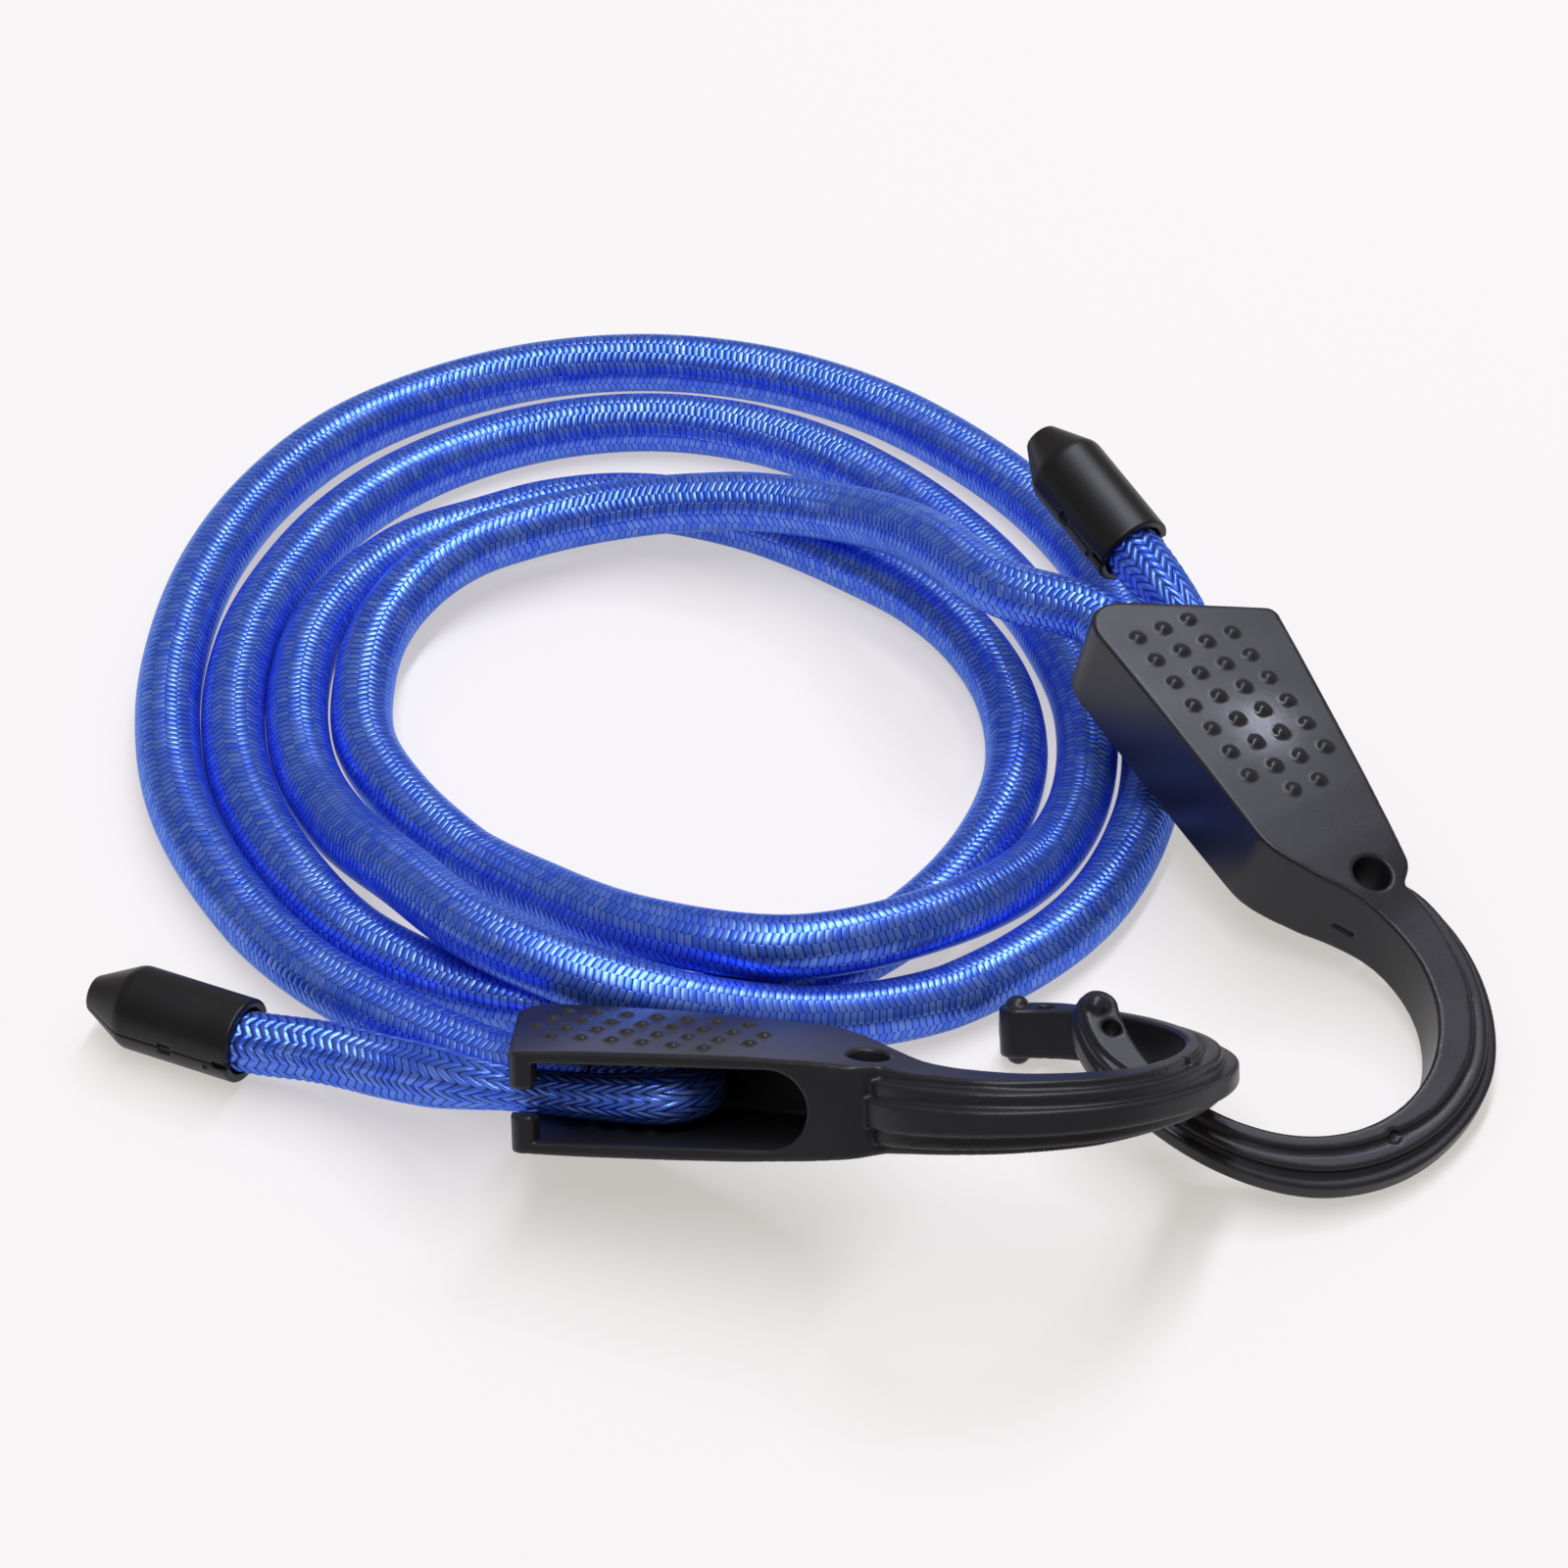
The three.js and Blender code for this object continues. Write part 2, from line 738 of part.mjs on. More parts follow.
const hook_plastic = { color: 0x2b2b31, roughness: 0.42, metalness: 0 };
const cap_plastic = { color: 0x1d1d1f, roughness: 0.5, metalness: 0 };
const sheath_yarn = { color: 0x1f3fc4, roughness: 0.55, metalness: 0 };
const core_rubber = { color: 0xd8d2bf, roughness: 0.8, metalness: 0 };

function piece(name, geometry, finish, pose = new THREE.Matrix4()) {
  const mesh = new THREE.Mesh(geometry, new THREE.MeshStandardMaterial(finish));
  mesh.name = name;
  mesh.applyMatrix4(pose);
  return mesh;
}

function tail(name, route) {
  const points = smooth(route, tail_step);
  return [
    piece(`${name}_sheath`, pipeAlong(points, cord_radius, bore_radius, tail_sides), sheath_yarn),
    piece(`${name}_core`, rodAlong(points, core_radius, tail_sides), core_rubber),
  ];
}

const coil = coilRoute();
const coil_sides = 6;
const coil_gap = leastGap(coil);
console.log(`coil: least gap to itself ${coil_gap.toFixed(2)} mm, ${coil.length} points`);

const bungee_cord = new THREE.Group();
bungee_cord.add(
  piece('hook_left', hookGeometry(), hook_plastic, left_hook_pose),
  piece('hook_right', hookGeometry(), hook_plastic, right_hook_pose),
  piece('end_cap_left_base', capBaseGeometry(), cap_plastic, left_cap_pose),
  piece('end_cap_left_lid', capLidGeometry(), cap_plastic, left_cap_pose),
  piece('end_cap_right_base', capBaseGeometry(), cap_plastic, right_cap_pose),
  piece('end_cap_right_lid', capLidGeometry(), cap_plastic, right_cap_pose),
  piece('cord_coil_sheath', pipeAlong(coil, cord_radius, bore_radius, coil_sides), sheath_yarn),
  piece('cord_coil_core', rodAlong(coil, core_radius, coil_sides), core_rubber),
  ...tail('cord_tail_left', left_tail_route),
  ...tail('cord_tail_right', right_tail_route),
);

export default bungee_cord;
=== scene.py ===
"""An adjustable bungee cord: coiled flat, its two moulded hooks linked, a cap on each end."""

import bpy
import numpy as np
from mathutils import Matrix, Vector


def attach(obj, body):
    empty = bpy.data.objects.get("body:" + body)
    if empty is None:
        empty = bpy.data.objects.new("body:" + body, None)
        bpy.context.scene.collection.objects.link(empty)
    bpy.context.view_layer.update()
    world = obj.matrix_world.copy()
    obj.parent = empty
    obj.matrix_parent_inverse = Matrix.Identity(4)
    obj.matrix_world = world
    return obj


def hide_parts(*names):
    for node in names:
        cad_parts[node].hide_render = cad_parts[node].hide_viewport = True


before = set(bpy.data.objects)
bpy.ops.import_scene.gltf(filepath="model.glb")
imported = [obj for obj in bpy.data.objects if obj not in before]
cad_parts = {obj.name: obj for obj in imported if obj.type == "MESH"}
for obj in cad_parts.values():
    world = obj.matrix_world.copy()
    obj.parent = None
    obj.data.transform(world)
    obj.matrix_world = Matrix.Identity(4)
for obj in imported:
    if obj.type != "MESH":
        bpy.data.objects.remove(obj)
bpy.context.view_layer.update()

mm = 0.001


# The camera: it looks down over the coil from the front at 41 degrees, with a long lens.

camera_place = Vector((-35.3 * mm, -587.7 * mm, 559.3 * mm))
camera_aim = Vector((-35.3 * mm, 55.7 * mm, 0))

camera_data = bpy.data.cameras.new("camera")
camera_data.lens = 117
camera_data.sensor_width = 36
camera_data.clip_start = 0.01
camera = bpy.data.objects.new("camera", camera_data)
camera.location = camera_place
camera.rotation_euler = (camera_aim - camera_place).to_track_quat("-Z", "Y").to_euler()
bpy.context.scene.collection.objects.link(camera)
bpy.context.scene.camera = camera


# The cord: a braided polyester sheath over a bundle of rubber strands. It lies in a loose
# coil of under four turns, runs into each hook, folds back and comes out again to its cap.

cord_diameter = 10 * mm
cord_radius = cord_diameter / 2
sheath_wall = 0.9 * mm
core_gap = 0.4 * mm
bore_radius = cord_radius - sheath_wall
core_radius = bore_radius - core_gap
seam_gap = 0.35 * mm

ring_radius = 24 * mm
ring_along = 69.8 * mm
ring_across = -26.3 * mm


def unit(vector):
    """The vector over its own length."""
    vector = np.asarray(vector, float)
    return vector / np.linalg.norm(vector)


def turned(along, beside, place=(0, 0, 0)):
    """A place and three axes as rows: along, then square to it nearest to beside, then up."""
    s = unit(along)
    n = unit(np.cross(s, beside))
    return np.array(place, float), np.array([s, np.cross(n, s), n])


def at(pose, along, beside, up=0.0):
    """The point that lies along, beside and up from the pose's place."""
    place, axes = pose
    return place + np.array([along, beside, up]) @ axes


right_hook = turned(
    (0.535, -0.808, -0.245), (0.828, 0.559, -0.037), (26.3 * mm, 57.5 * mm, 27.4 * mm)
)
left_hook = turned((0.89, -0.373, 0.262), (-0.455, -0.766, 0.454))
ring_link_shares = np.array([-1.688, -0.891, 0.412])
left_ring = at(right_hook, ring_along, ring_across) + ring_link_shares * ring_radius
left_hook = (left_ring - at(left_hook, ring_along, ring_across), left_hook[1])

leg_across = 5.5 * mm
leg_seam = 8 * mm
leg_turn = 21.5 * mm
leg_leaves = -10 * mm
tail_across = 8.5 * mm
tail_leaves = -6 * mm
right_tail_free = 13.5 * mm
cap_pocket = 17.6 * mm

left_cap = turned((-0.9, 0.43, -0.035), (-0.43, -0.9, 0), (-119.1 * mm, -14.2 * mm, 7.6 * mm))
right_cap = turned(
    (-0.535, 0.808, 0.245),
    (-0.828, -0.559, 0.037),
    at(right_hook, tail_leaves - right_tail_free, tail_across),
)

# The coil's turns as headings clockwise from +Y, with 24 radii to the turn
coil_radius = 100 * mm
coil_centre = np.array([-57.3 * mm, 87.7 * mm])
steps_per_turn = 24
first_heading = 210
turn_radius_shares = np.array([
    1.010, 0.942, 0.892, 0.845, 0.813, 0.802, 0.803, 0.809, 0.805, 0.802, 0.794, 0.780,
    0.765, 0.754, 0.761, 0.781, 0.813, 0.866, 0.936, 0.994, 1.014, 1.010, 0.984, 0.912,
    0.790, 0.715, 0.668, 0.623, 0.584, 0.539, 0.493, 0.437, 0.411, 0.391, 0.375, 0.362,
    0.361, 0.372, 0.402, 0.461, 0.534, 0.616, 0.698, 0.768, 0.834, 0.892, 0.924, 0.922,
    0.890, 0.830, 0.780, 0.733, 0.695, 0.664, 0.647, 0.635, 0.625, 0.618, 0.612, 0.602,
    0.591, 0.586, 0.596, 0.626, 0.677, 0.750, 0.821, 0.882, 0.924, 0.929, 0.827, 0.698,
    0.628, 0.585, 0.554, 0.509, 0.470, 0.424, 0.376, 0.333, 0.310, 0.296, 0.288, 0.287,
    0.302, 0.333, 0.373, 0.418, 0.478, 0.600,
])

# Where a turn passes over another, in degrees from +Y: middle, rise and half width of each
# hump, then start, end and rise of each climb
humps = [(190, 5 * mm, 36), (553, 11.5 * mm, 44), (1245, 11.4 * mm, 46)]
climbs = [(1320, 1390, 5.2 * mm), (1410, 1500, 6 * mm), (1485, 1555, 13.5 * mm)]


def smooth_step(share):
    """From 0 to 1 as 3 x squared less 2 x cubed."""
    share = np.clip(share, 0, 1)
    return share ** 2 * (3 - 2 * share)


def coil_points():
    """Radius share times coil radius at each heading. The height is the cord's radius, plus a
    squared cosine over each hump, plus a smooth step for each climb."""
    degrees = first_heading + np.arange(len(turn_radius_shares)) * 360 / steps_per_turn
    heading = np.radians(degrees)
    radius = turn_radius_shares * coil_radius
    height = np.full(len(degrees), cord_radius)
    for middle, rise, reach in humps:
        away = np.minimum(1, np.abs(degrees - middle) / reach)
        height += rise * np.cos(away * np.pi / 2) ** 2
    for start, end, rise in climbs:
        height += rise * smooth_step((degrees - start) / (end - start))
    return np.column_stack([
        coil_centre[0] + radius * np.sin(heading),
        coil_centre[1] + radius * np.cos(heading),
        height,
    ])


coil_points_list = [
    at(left_hook, leg_seam, -leg_across),
    at(left_hook, leg_leaves + cord_radius, -leg_across),
    at(left_hook, leg_leaves, -leg_across),
    *coil_points(),
    at(right_hook, leg_leaves, -leg_across),
    at(right_hook, leg_leaves + cord_radius, -leg_across),
    at(right_hook, leg_seam, -leg_across),
]


def fold_points(pose, sag):
    """In at the seam, a half circle round the turn in quarters, which sinks by the sag, and out
    across the hook."""
    quarters = np.arange(1, 4) / 4
    turn = [
        (leg_turn + leg_across * np.sin(np.pi * q), -leg_across * np.cos(np.pi * q))
        for q in quarters
    ]
    return [
        at(pose, leg_seam + seam_gap, -leg_across),
        at(pose, leg_seam + seam_gap + cord_radius, -leg_across),
        at(pose, leg_turn, -leg_across),
        *[at(pose, *place, sag * q) for place, q in zip(turn, quarters)],
        at(pose, leg_turn, leg_across, sag),
        at(pose, leg_seam, (leg_across + tail_across) / 2, sag),
        at(pose, tail_leaves, tail_across),
    ]


def cap_points(pose):
    """Straight into the cap's pocket."""
    end = cap_pocket - seam_gap
    return [at(pose, reach, 0) for reach in (0, cord_radius, end - cord_radius, end)]


# Two places between the left fold and its cap
left_tail_points = np.array([[-95.7, -24, 11.3], [-106.9, -18, 8.9]]) * mm
left_sag = 0.8 * mm
right_sag = -0.5 * mm
left_tail_list = [*fold_points(left_hook, left_sag), *left_tail_points, *cap_points(left_cap)]
right_tail_list = [*fold_points(right_hook, right_sag), *cap_points(right_cap)]


steps_between_points = 24


def smooth_path(points, step):
    """A centripetal Catmull-Rom curve through the points, in equal steps. Between two points
    it is the cubic with tangents weighted by the square roots of the neighbours' distances."""
    p = np.array(points)
    p = np.vstack([2 * p[0] - p[1], p, 2 * p[-1] - p[-2]])
    d = np.linalg.norm(np.diff(p, axis=0), axis=1)[:, None] ** 0.5
    a, b, c, e = p[:-3], p[1:-2], p[2:-1], p[3:]
    d0, d1, d2 = d[:-2], d[1:-1], d[2:]
    start = ((b - a) / d0 - (c - a) / (d0 + d1) + (c - b) / d1) * d1
    end = ((c - b) / d1 - (e - b) / (d1 + d2) + (e - c) / d2) * d1
    u = np.linspace(0, 1, steps_between_points, endpoint=False)[None, :, None]
    b, c, start, end = [x[:, None, :] for x in (b, c, start, end)]
    curve = b + start * u + (3 * (c - b) - 2 * start - end) * u ** 2
    curve = curve + (2 * (b - c) + start + end) * u ** 3
    curve = np.vstack([curve.reshape(-1, 3), p[-2]])
    reach = np.r_[0, np.cumsum(np.linalg.norm(np.diff(curve, axis=0), axis=1))]
    places = np.linspace(0, reach[-1], int(round(reach[-1] / step)) + 1)
    return np.column_stack([np.interp(places, reach, axis) for axis in curve.T]), places


def new_piece(name, points, faces, body, replaced):
    """A smooth-shaded mesh that rides on a body and stands for CAD nodes. Its points are an
    array and its faces a list."""
    mesh = bpy.data.meshes.new(name)
    mesh.from_pydata(points.tolist(), [], faces)
    mesh.shade_smooth()
    piece = bpy.data.objects.new(name, mesh)
    bpy.context.scene.collection.objects.link(piece)
    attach(piece, body)
    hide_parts(*replaced)
    return piece


def rings(path, radius, sides, turn):
    """Corner k of ring i: point i plus radius times cos and sin of 2 pi k / sides + turn i,
    on the two directions square to the path, the first of them nearest to +Z."""
    ahead = np.gradient(path, axis=0)
    ahead /= np.linalg.norm(ahead, axis=1)[:, None]
    beside = np.cross(ahead, (0, 0, 1))
    beside /= np.linalg.norm(beside, axis=1)[:, None]
    up = np.cross(beside, ahead)
    angle = 2 * np.pi * np.arange(sides) / sides + turn[:, None]
    radius = np.broadcast_to(radius, angle.shape)[..., None]
    out = up[:, None] * np.cos(angle)[..., None] - beside[:, None] * np.sin(angle)[..., None]
    return path[:, None] + radius * out


def closed_grid(rows, columns):
    """Quads of a grid that closes on itself both ways."""
    i, k = np.meshgrid(np.arange(rows), np.arange(columns), indexing="ij")
    after, beside = (i + 1) % rows, (k + 1) % columns
    corners = [(i, k), (after, k), (after, beside), (i, beside)]
    return np.stack([a * columns + b for a, b in corners], axis=-1).reshape(-1, 4)


def smooth_table(place, table):
    """Values between a table's rows, averaged under a raised cosine so that no row shows."""
    count, width = 200, 11
    fine = np.linspace(table[0, 0], table[-1, 0], count)
    value = np.interp(fine, table[:, 0], table[:, 1])
    padded = np.pad(value, width // 2, mode="edge")
    window = np.hanning(width + 2)[1:-1]
    return np.interp(place, fine, np.convolve(padded, window / window.sum(), "valid"))


braid_columns = 16
closed_pitch = 1.1 * mm
open_pitch = 2.3 * mm
closed_slant = 0.2
open_slant = 1.4
half_open_slant = 0.6
ridge_power = 0.7
edge_power = 0.5

# The braid's twist to and fro as sines: angle, length for a radian, and start
twist_waves = ((0.5, 53 * mm, 0), (0.35, 31 * mm, 1))
swell_mean, swell_reach, swell_lengths = 0.985, 0.012, (19 * mm, 43 * mm)
bore_every = 4


def stitch_relief(around, along, slant):
    """Height of the braid from 0 to 1: a half sine along each leaning stitch, halved towards
    its column's edges. Neighbouring columns lean opposite ways, and stand half a stitch apart
    where the braid is closed."""
    column = np.floor(around * braid_columns)
    across = around * braid_columns - column
    odd = column % 2
    lean = np.where(odd == 0, across, 1 - across) - 0.5
    stitch = (along + slant * lean + 0.5 * odd * (slant < half_open_slant)) % 1
    ridge = np.sin(np.pi * stitch) ** ridge_power
    return ridge * (0.5 + 0.5 * np.sin(np.pi * across) ** edge_power)


def sheath(name, points, step, sides, relief, opened, thinned, body, replaced):
    """The outer skin runs forward and the bore runs back over every fourth ring, so that the
    pipe closes at both ends. A sum of sines twists it, and a product of two swells it. Where it
    swells it lies higher, clear of the floor. Its UV map holds the way round and the stitches
    counted along."""
    path, places = smooth_path(points, step)
    thin = smooth_table(places, thinned)[:, None]
    path[:, 2] = np.maximum(path[:, 2], cord_radius * np.maximum(thin[:, 0], 1))
    turn = sum(angle * np.sin(places / length + start) for angle, length, start in twist_waves)
    first, second = [np.sin(places / length) for length in swell_lengths]
    swell = swell_mean + swell_reach * first * second
    openness = smooth_table(places, opened)
    pitch = closed_pitch + (open_pitch - closed_pitch) * openness
    stitches = np.r_[0, np.cumsum(np.diff(places) / pitch[1:])]
    slant = closed_slant + (open_slant - closed_slant) * openness
    around = np.arange(sides) / sides
    height = stitch_relief(around[None, :], stitches[:, None], slant[:, None])
    radius = cord_radius * swell[:, None] * thin - relief * (1 - height)
    outer = rings(path, radius, sides, turn)
    back = np.r_[np.arange(len(path) - 1, 0, -bore_every), 0]
    inner = rings(path, bore_radius * thin, sides, turn)[back]
    grid = np.concatenate([outer, inner])
    row = np.r_[np.arange(len(path)), back]
    faces = closed_grid(len(grid), sides)
    piece = new_piece(name, grid.reshape(-1, 3), faces.tolist(), body, replaced)
    mesh = piece.data
    corner = faces.reshape(-1)
    column = np.tile(np.arange(sides)[:, None] + [0, 0, 1, 1], (len(grid), 1)).reshape(-1)
    braid = mesh.uv_layers.new(name="braid")
    pairs = np.column_stack([column / sides, stitches[row][corner // sides]])
    braid.data.foreach_set("uv", pairs.reshape(-1).astype(np.float32))
    lean = mesh.attributes.new("slant", "FLOAT", "POINT")
    lean.data.foreach_set("value", np.repeat(slant[row], sides).astype(np.float32))
    return piece, path, places[-1]


strand_count = 12
strand_dip_share = 0.07
strand_lay = 60 * mm


def core(name, points, step, sides, thinned, body, replaced):
    """A rod of rubber strands: the radius dips as a cosine between them, and they twist by one
    radian in each strand lay."""
    path, places = smooth_path(points, step)
    path[:, 2] = np.maximum(path[:, 2], cord_radius)
    around = np.arange(sides) / sides
    dip = strand_dip_share * np.abs(np.cos(strand_count * np.pi * around))
    radius = core_radius * (1 - dip)
    turn = places / strand_lay
    skin = rings(path, radius[None, :] * smooth_table(places, thinned)[:, None], sides, turn)
    faces = closed_grid(len(skin), sides)[: (len(skin) - 1) * sides]
    middle = len(skin) * sides
    points = np.vstack([skin.reshape(-1, 3), path[0], path[-1]])
    k = np.arange(sides)
    near = np.column_stack([k, (k + 1) % sides, np.full(sides, middle)])
    far = near + [middle - sides, middle - sides, 1]
    faces = faces.tolist() + near.tolist() + far[:, [1, 0, 2]].tolist()
    return new_piece(name, points, faces, body, replaced)


# Along the cord in metres: how open the braid is, and the share of its full thickness. It
# swells where the rubber lies slack, and is stretched thin where it folds back in a hook.
coil_open = np.array([[0, 0.3], [0.04, 0.15], [0.5, 0.05], [0.9, 0.15], [1.3, 0.05], [1.7, 0.2]])
coil_thin = np.array([
    [0, 1], [0.04, 1], [0.08, 1.1], [0.16, 1.12], [0.25, 1.07], [0.45, 1.04], [0.6, 1.08],
    [0.9, 1.05], [1.08, 1.1], [1.3, 1.04], [1.5, 1.07], [1.63, 1.04], [1.665, 1], [1.7, 1],
])
tail_open = np.array([[0, 0.7], [0.02, 1], [0.055, 1], [0.07, 0.5], [0.12, 0.4]])
tail_thin = np.array([
    [0, 0.97], [0.013, 0.9], [0.03, 0.8], [0.04, 0.7], [0.053, 0.69], [0.06, 0.86], [0.067, 1.0],
    [0.075, 1.02], [0.12, 1.0],
])

# The coil's stitches are bump alone, and the open tails' stand up from a finer grid
coil_step, coil_sides = 1.4 * mm, 32
tail_step, tail_sides, tail_relief = 0.35 * mm, 96, 0.3 * mm
coil_core_step, tail_core_step, core_sides = 2 * mm, mm, 48

coil, coil_path, coil_length = sheath(
    "cord_coil_braid", coil_points_list, coil_step, coil_sides, 0, coil_open, coil_thin,
    "cord", ["cord_coil_sheath"],
)
left_tail, left_tail_path, left_tail_length = sheath(
    "cord_tail_left_braid", left_tail_list, tail_step, tail_sides, tail_relief,
    tail_open, tail_thin, "cord", ["cord_tail_left_sheath"],
)
right_tail, right_tail_path, right_tail_length = sheath(
    "cord_tail_right_braid", right_tail_list, tail_step, tail_sides, tail_relief,
    tail_open, tail_thin, "cord", ["cord_tail_right_sheath"],
)
cores = [
    core(
        "cord_coil_strands", coil_points_list, coil_core_step, core_sides, coil_thin,
        "cord", ["cord_coil_core"],
    ),
    core(
        "cord_tail_left_strands", left_tail_list, tail_core_step, core_sides, tail_thin,
        "cord", ["cord_tail_left_core"],
    ),
    core(
        "cord_tail_right_strands", right_tail_list, tail_core_step, core_sides, tail_thin,
        "cord", ["cord_tail_right_core"],
    ),
]


def new_material(name):
    """An empty node material with its output and a Principled shader joined to it."""
    material = bpy.data.materials.new(name)
    material.use_nodes = True
    nodes = material.node_tree.nodes
    nodes.clear()
    output = nodes.new("ShaderNodeOutputMaterial")
    shader = nodes.new("ShaderNodeBsdfPrincipled")
    material.node_tree.links.new(shader.outputs["BSDF"], output.inputs["Surface"])
    return material, shader


def node(tree, kind, inputs=(), **settings):
    """A node with its settings made and its inputs filled: a value, or a socket to link."""
    made = tree.nodes.new(kind)
    for name, value in settings.items():
        setattr(made, name, value)
    for key, value in dict(inputs).items():
        if isinstance(value, bpy.types.NodeSocket):
            tree.links.new(value, made.inputs[key])
        else:
            made.inputs[key].default_value = value
    return made


def math(tree, operation, *values):
    """The output of a Math node."""
    made = node(tree, "ShaderNodeMath", dict(enumerate(values)), operation=operation)
    return made.outputs[0]


def braid_group():
    """The braid as a pattern, by the same formula as stitch_relief: height from 0 to 1, and a
    random tint for each stitch."""
    tree = bpy.data.node_groups.new("braid", "ShaderNodeTree")
    for name in ("Around", "Along", "Slant"):
        tree.interface.new_socket(name, in_out="INPUT", socket_type="NodeSocketFloat")
    for name in ("Height", "Tint"):
        tree.interface.new_socket(name, in_out="OUTPUT", socket_type="NodeSocketFloat")
    given = tree.nodes.new("NodeGroupInput")
    result = tree.nodes.new("NodeGroupOutput")
    place = math(tree, "MULTIPLY", given.outputs["Around"], braid_columns)
    column = math(tree, "FLOOR", place)
    across = math(tree, "SUBTRACT", place, column)
    odd = math(tree, "MODULO", column, 2.0)
    flip = math(tree, "SUBTRACT", 1.0, math(tree, "MULTIPLY", odd, 2.0))
    lean = math(tree, "MULTIPLY", math(tree, "SUBTRACT", across, 0.5), flip)
    leant = math(tree, "MULTIPLY_ADD", lean, given.outputs["Slant"], given.outputs["Along"])
    closed = math(tree, "LESS_THAN", given.outputs["Slant"], half_open_slant)
    leant = math(tree, "MULTIPLY_ADD", math(tree, "MULTIPLY", odd, closed), 0.5, leant)
    stitch = math(tree, "FRACT", leant)
    along = math(tree, "SINE", math(tree, "MULTIPLY", stitch, np.pi))
    ridge = math(tree, "POWER", along, ridge_power)
    over = math(tree, "SINE", math(tree, "MULTIPLY", across, np.pi))
    edge = math(tree, "POWER", over, edge_power)
    height = math(tree, "MULTIPLY", ridge, math(tree, "MULTIPLY_ADD", edge, 0.5, 0.5))
    cell = node(tree, "ShaderNodeCombineXYZ", {0: column, 1: math(tree, "FLOOR", leant)})
    tint = node(tree, "ShaderNodeTexWhiteNoise", {"Vector": cell.outputs[0]})
    tree.links.new(height, result.inputs["Height"])
    tree.links.new(tint.outputs["Value"], result.inputs["Tint"])
    return tree


yarn_blue = (0.058, 0.155, 0.95, 1)
# Painted shade: the deep blue painted into the grooves between the stitches
yarn_painted_shade_blue = (0.003, 0.008, 0.1, 1)
yarn_pale_blue = (0.26, 0.44, 1.0, 1)
yarn_pale_share = 0.45
yarn_fuzz_share = 0.12


def yarn_material():
    """Blue yarn with a silky shine, with painted shade that makes it dark in the grooves between
    the stitches; it is paler on some of them, fuzzy, and pulled flatter in patches."""
    material, shader = new_material("royal_blue_braid")
    tree = material.node_tree
    uv = node(tree, "ShaderNodeUVMap", uv_map="braid")
    place = node(tree, "ShaderNodeSeparateXYZ", {0: uv.outputs[0]})
    slant = node(tree, "ShaderNodeAttribute", attribute_name="slant")
    braid = node(tree, "ShaderNodeGroup", node_tree=braid_group())
    tree.links.new(place.outputs["X"], braid.inputs["Around"])
    tree.links.new(place.outputs["Y"], braid.inputs["Along"])
    tree.links.new(slant.outputs["Fac"], braid.inputs["Slant"])
    height = braid.outputs["Height"]
    body = node(tree, "ShaderNodeMix", {
        "Factor": math(tree, "MULTIPLY", braid.outputs["Tint"], yarn_pale_share),
        "A": yarn_blue,
        "B": yarn_pale_blue,
    }, data_type="RGBA")
    # Painted shade: the colour goes over to a deep blue where the braid's height is low, in the
    # grooves between the stitches
    painted_groove_shade = node(tree, "ShaderNodeMapRange", {
        "Value": height, "From Min": 0.0, "From Max": 0.65, "To Min": 0.0, "To Max": 1.0,
    }, interpolation_type="SMOOTHSTEP")
    colour = node(tree, "ShaderNodeMix", {
        "Factor": painted_groove_shade.outputs[0], "A": yarn_painted_shade_blue, "B": body.outputs["Result"],
    }, data_type="RGBA")
    coordinates = node(tree, "ShaderNodeTexCoord")
    fuzz = node(tree, "ShaderNodeTexNoise", {
        "Vector": coordinates.outputs["Object"], "Scale": 2600, "Detail": 2,
    })
    patch = node(tree, "ShaderNodeTexNoise", {
        "Vector": coordinates.outputs["Object"], "Scale": 22, "Detail": 1,
    })
    pull = node(tree, "ShaderNodeMapRange", {
        "Value": patch.outputs["Fac"],
        "From Min": 0.35, "From Max": 0.6, "To Min": 0.35, "To Max": 1.0,
    }, interpolation_type="SMOOTHSTEP")
    pulled = math(tree, "MULTIPLY", height, pull.outputs[0])
    relief = node(tree, "ShaderNodeBump", {
        "Height": math(tree, "MULTIPLY_ADD", fuzz.outputs["Fac"], yarn_fuzz_share, pulled),
        "Strength": 0.7, "Distance": 0.22 * mm,
    })
    tree.links.new(colour.outputs["Result"], shader.inputs["Base Color"])
    tree.links.new(relief.outputs["Normal"], shader.inputs["Normal"])
    shader.inputs["Roughness"].default_value = 0.3
    shader.inputs["Metallic"].default_value = 0.72
    shader.inputs["Specular IOR Level"].default_value = 1.0
    shader.inputs["Specular Tint"].default_value = (0.5, 0.75, 1, 1)
    return material


rubber_tan = (0.62, 0.54, 0.4, 1)
rubber_pale = (0.74, 0.69, 0.56, 1)


def rubber_material():
    """Pale rubber, a little darker in patches, dull."""
    material, shader = new_material("latex_strands")
    tree = material.node_tree
    coordinates = node(tree, "ShaderNodeTexCoord")
    patch = node(tree, "ShaderNodeTexNoise", {
        "Vector": coordinates.outputs["Object"], "Scale": 180, "Detail": 4,
    })
    colour = node(tree, "ShaderNodeMix", {
        "Factor": patch.outputs["Fac"], "A": rubber_tan, "B": rubber_pale,
    }, data_type="RGBA")
    tree.links.new(colour.outputs["Result"], shader.inputs["Base Color"])
    shader.inputs["Roughness"].default_value = 0.75
    return material


braid_finish = yarn_material()
for piece in (coil, left_tail, right_tail):
    piece.data.materials.append(braid_finish)
rubber_finish = rubber_material()
for piece in cores:
    piece.data.materials.append(rubber_finish)


# The hooks: one moulding in black nylon, used twice. A flat clamp body is hollowed for the
# folded cord and open along its spine. A ribbed arm grows from its neck into a round hook.

body_length = 60 * mm
spine_reach = 18 * mm
mouth_reach = 13.2 * mm
body_half = 8.5 * mm
cavity_half = 6 * mm
mouth_wall = 2.2 * mm
arm_width = 11.4 * mm
arm_half = 6.2 * mm

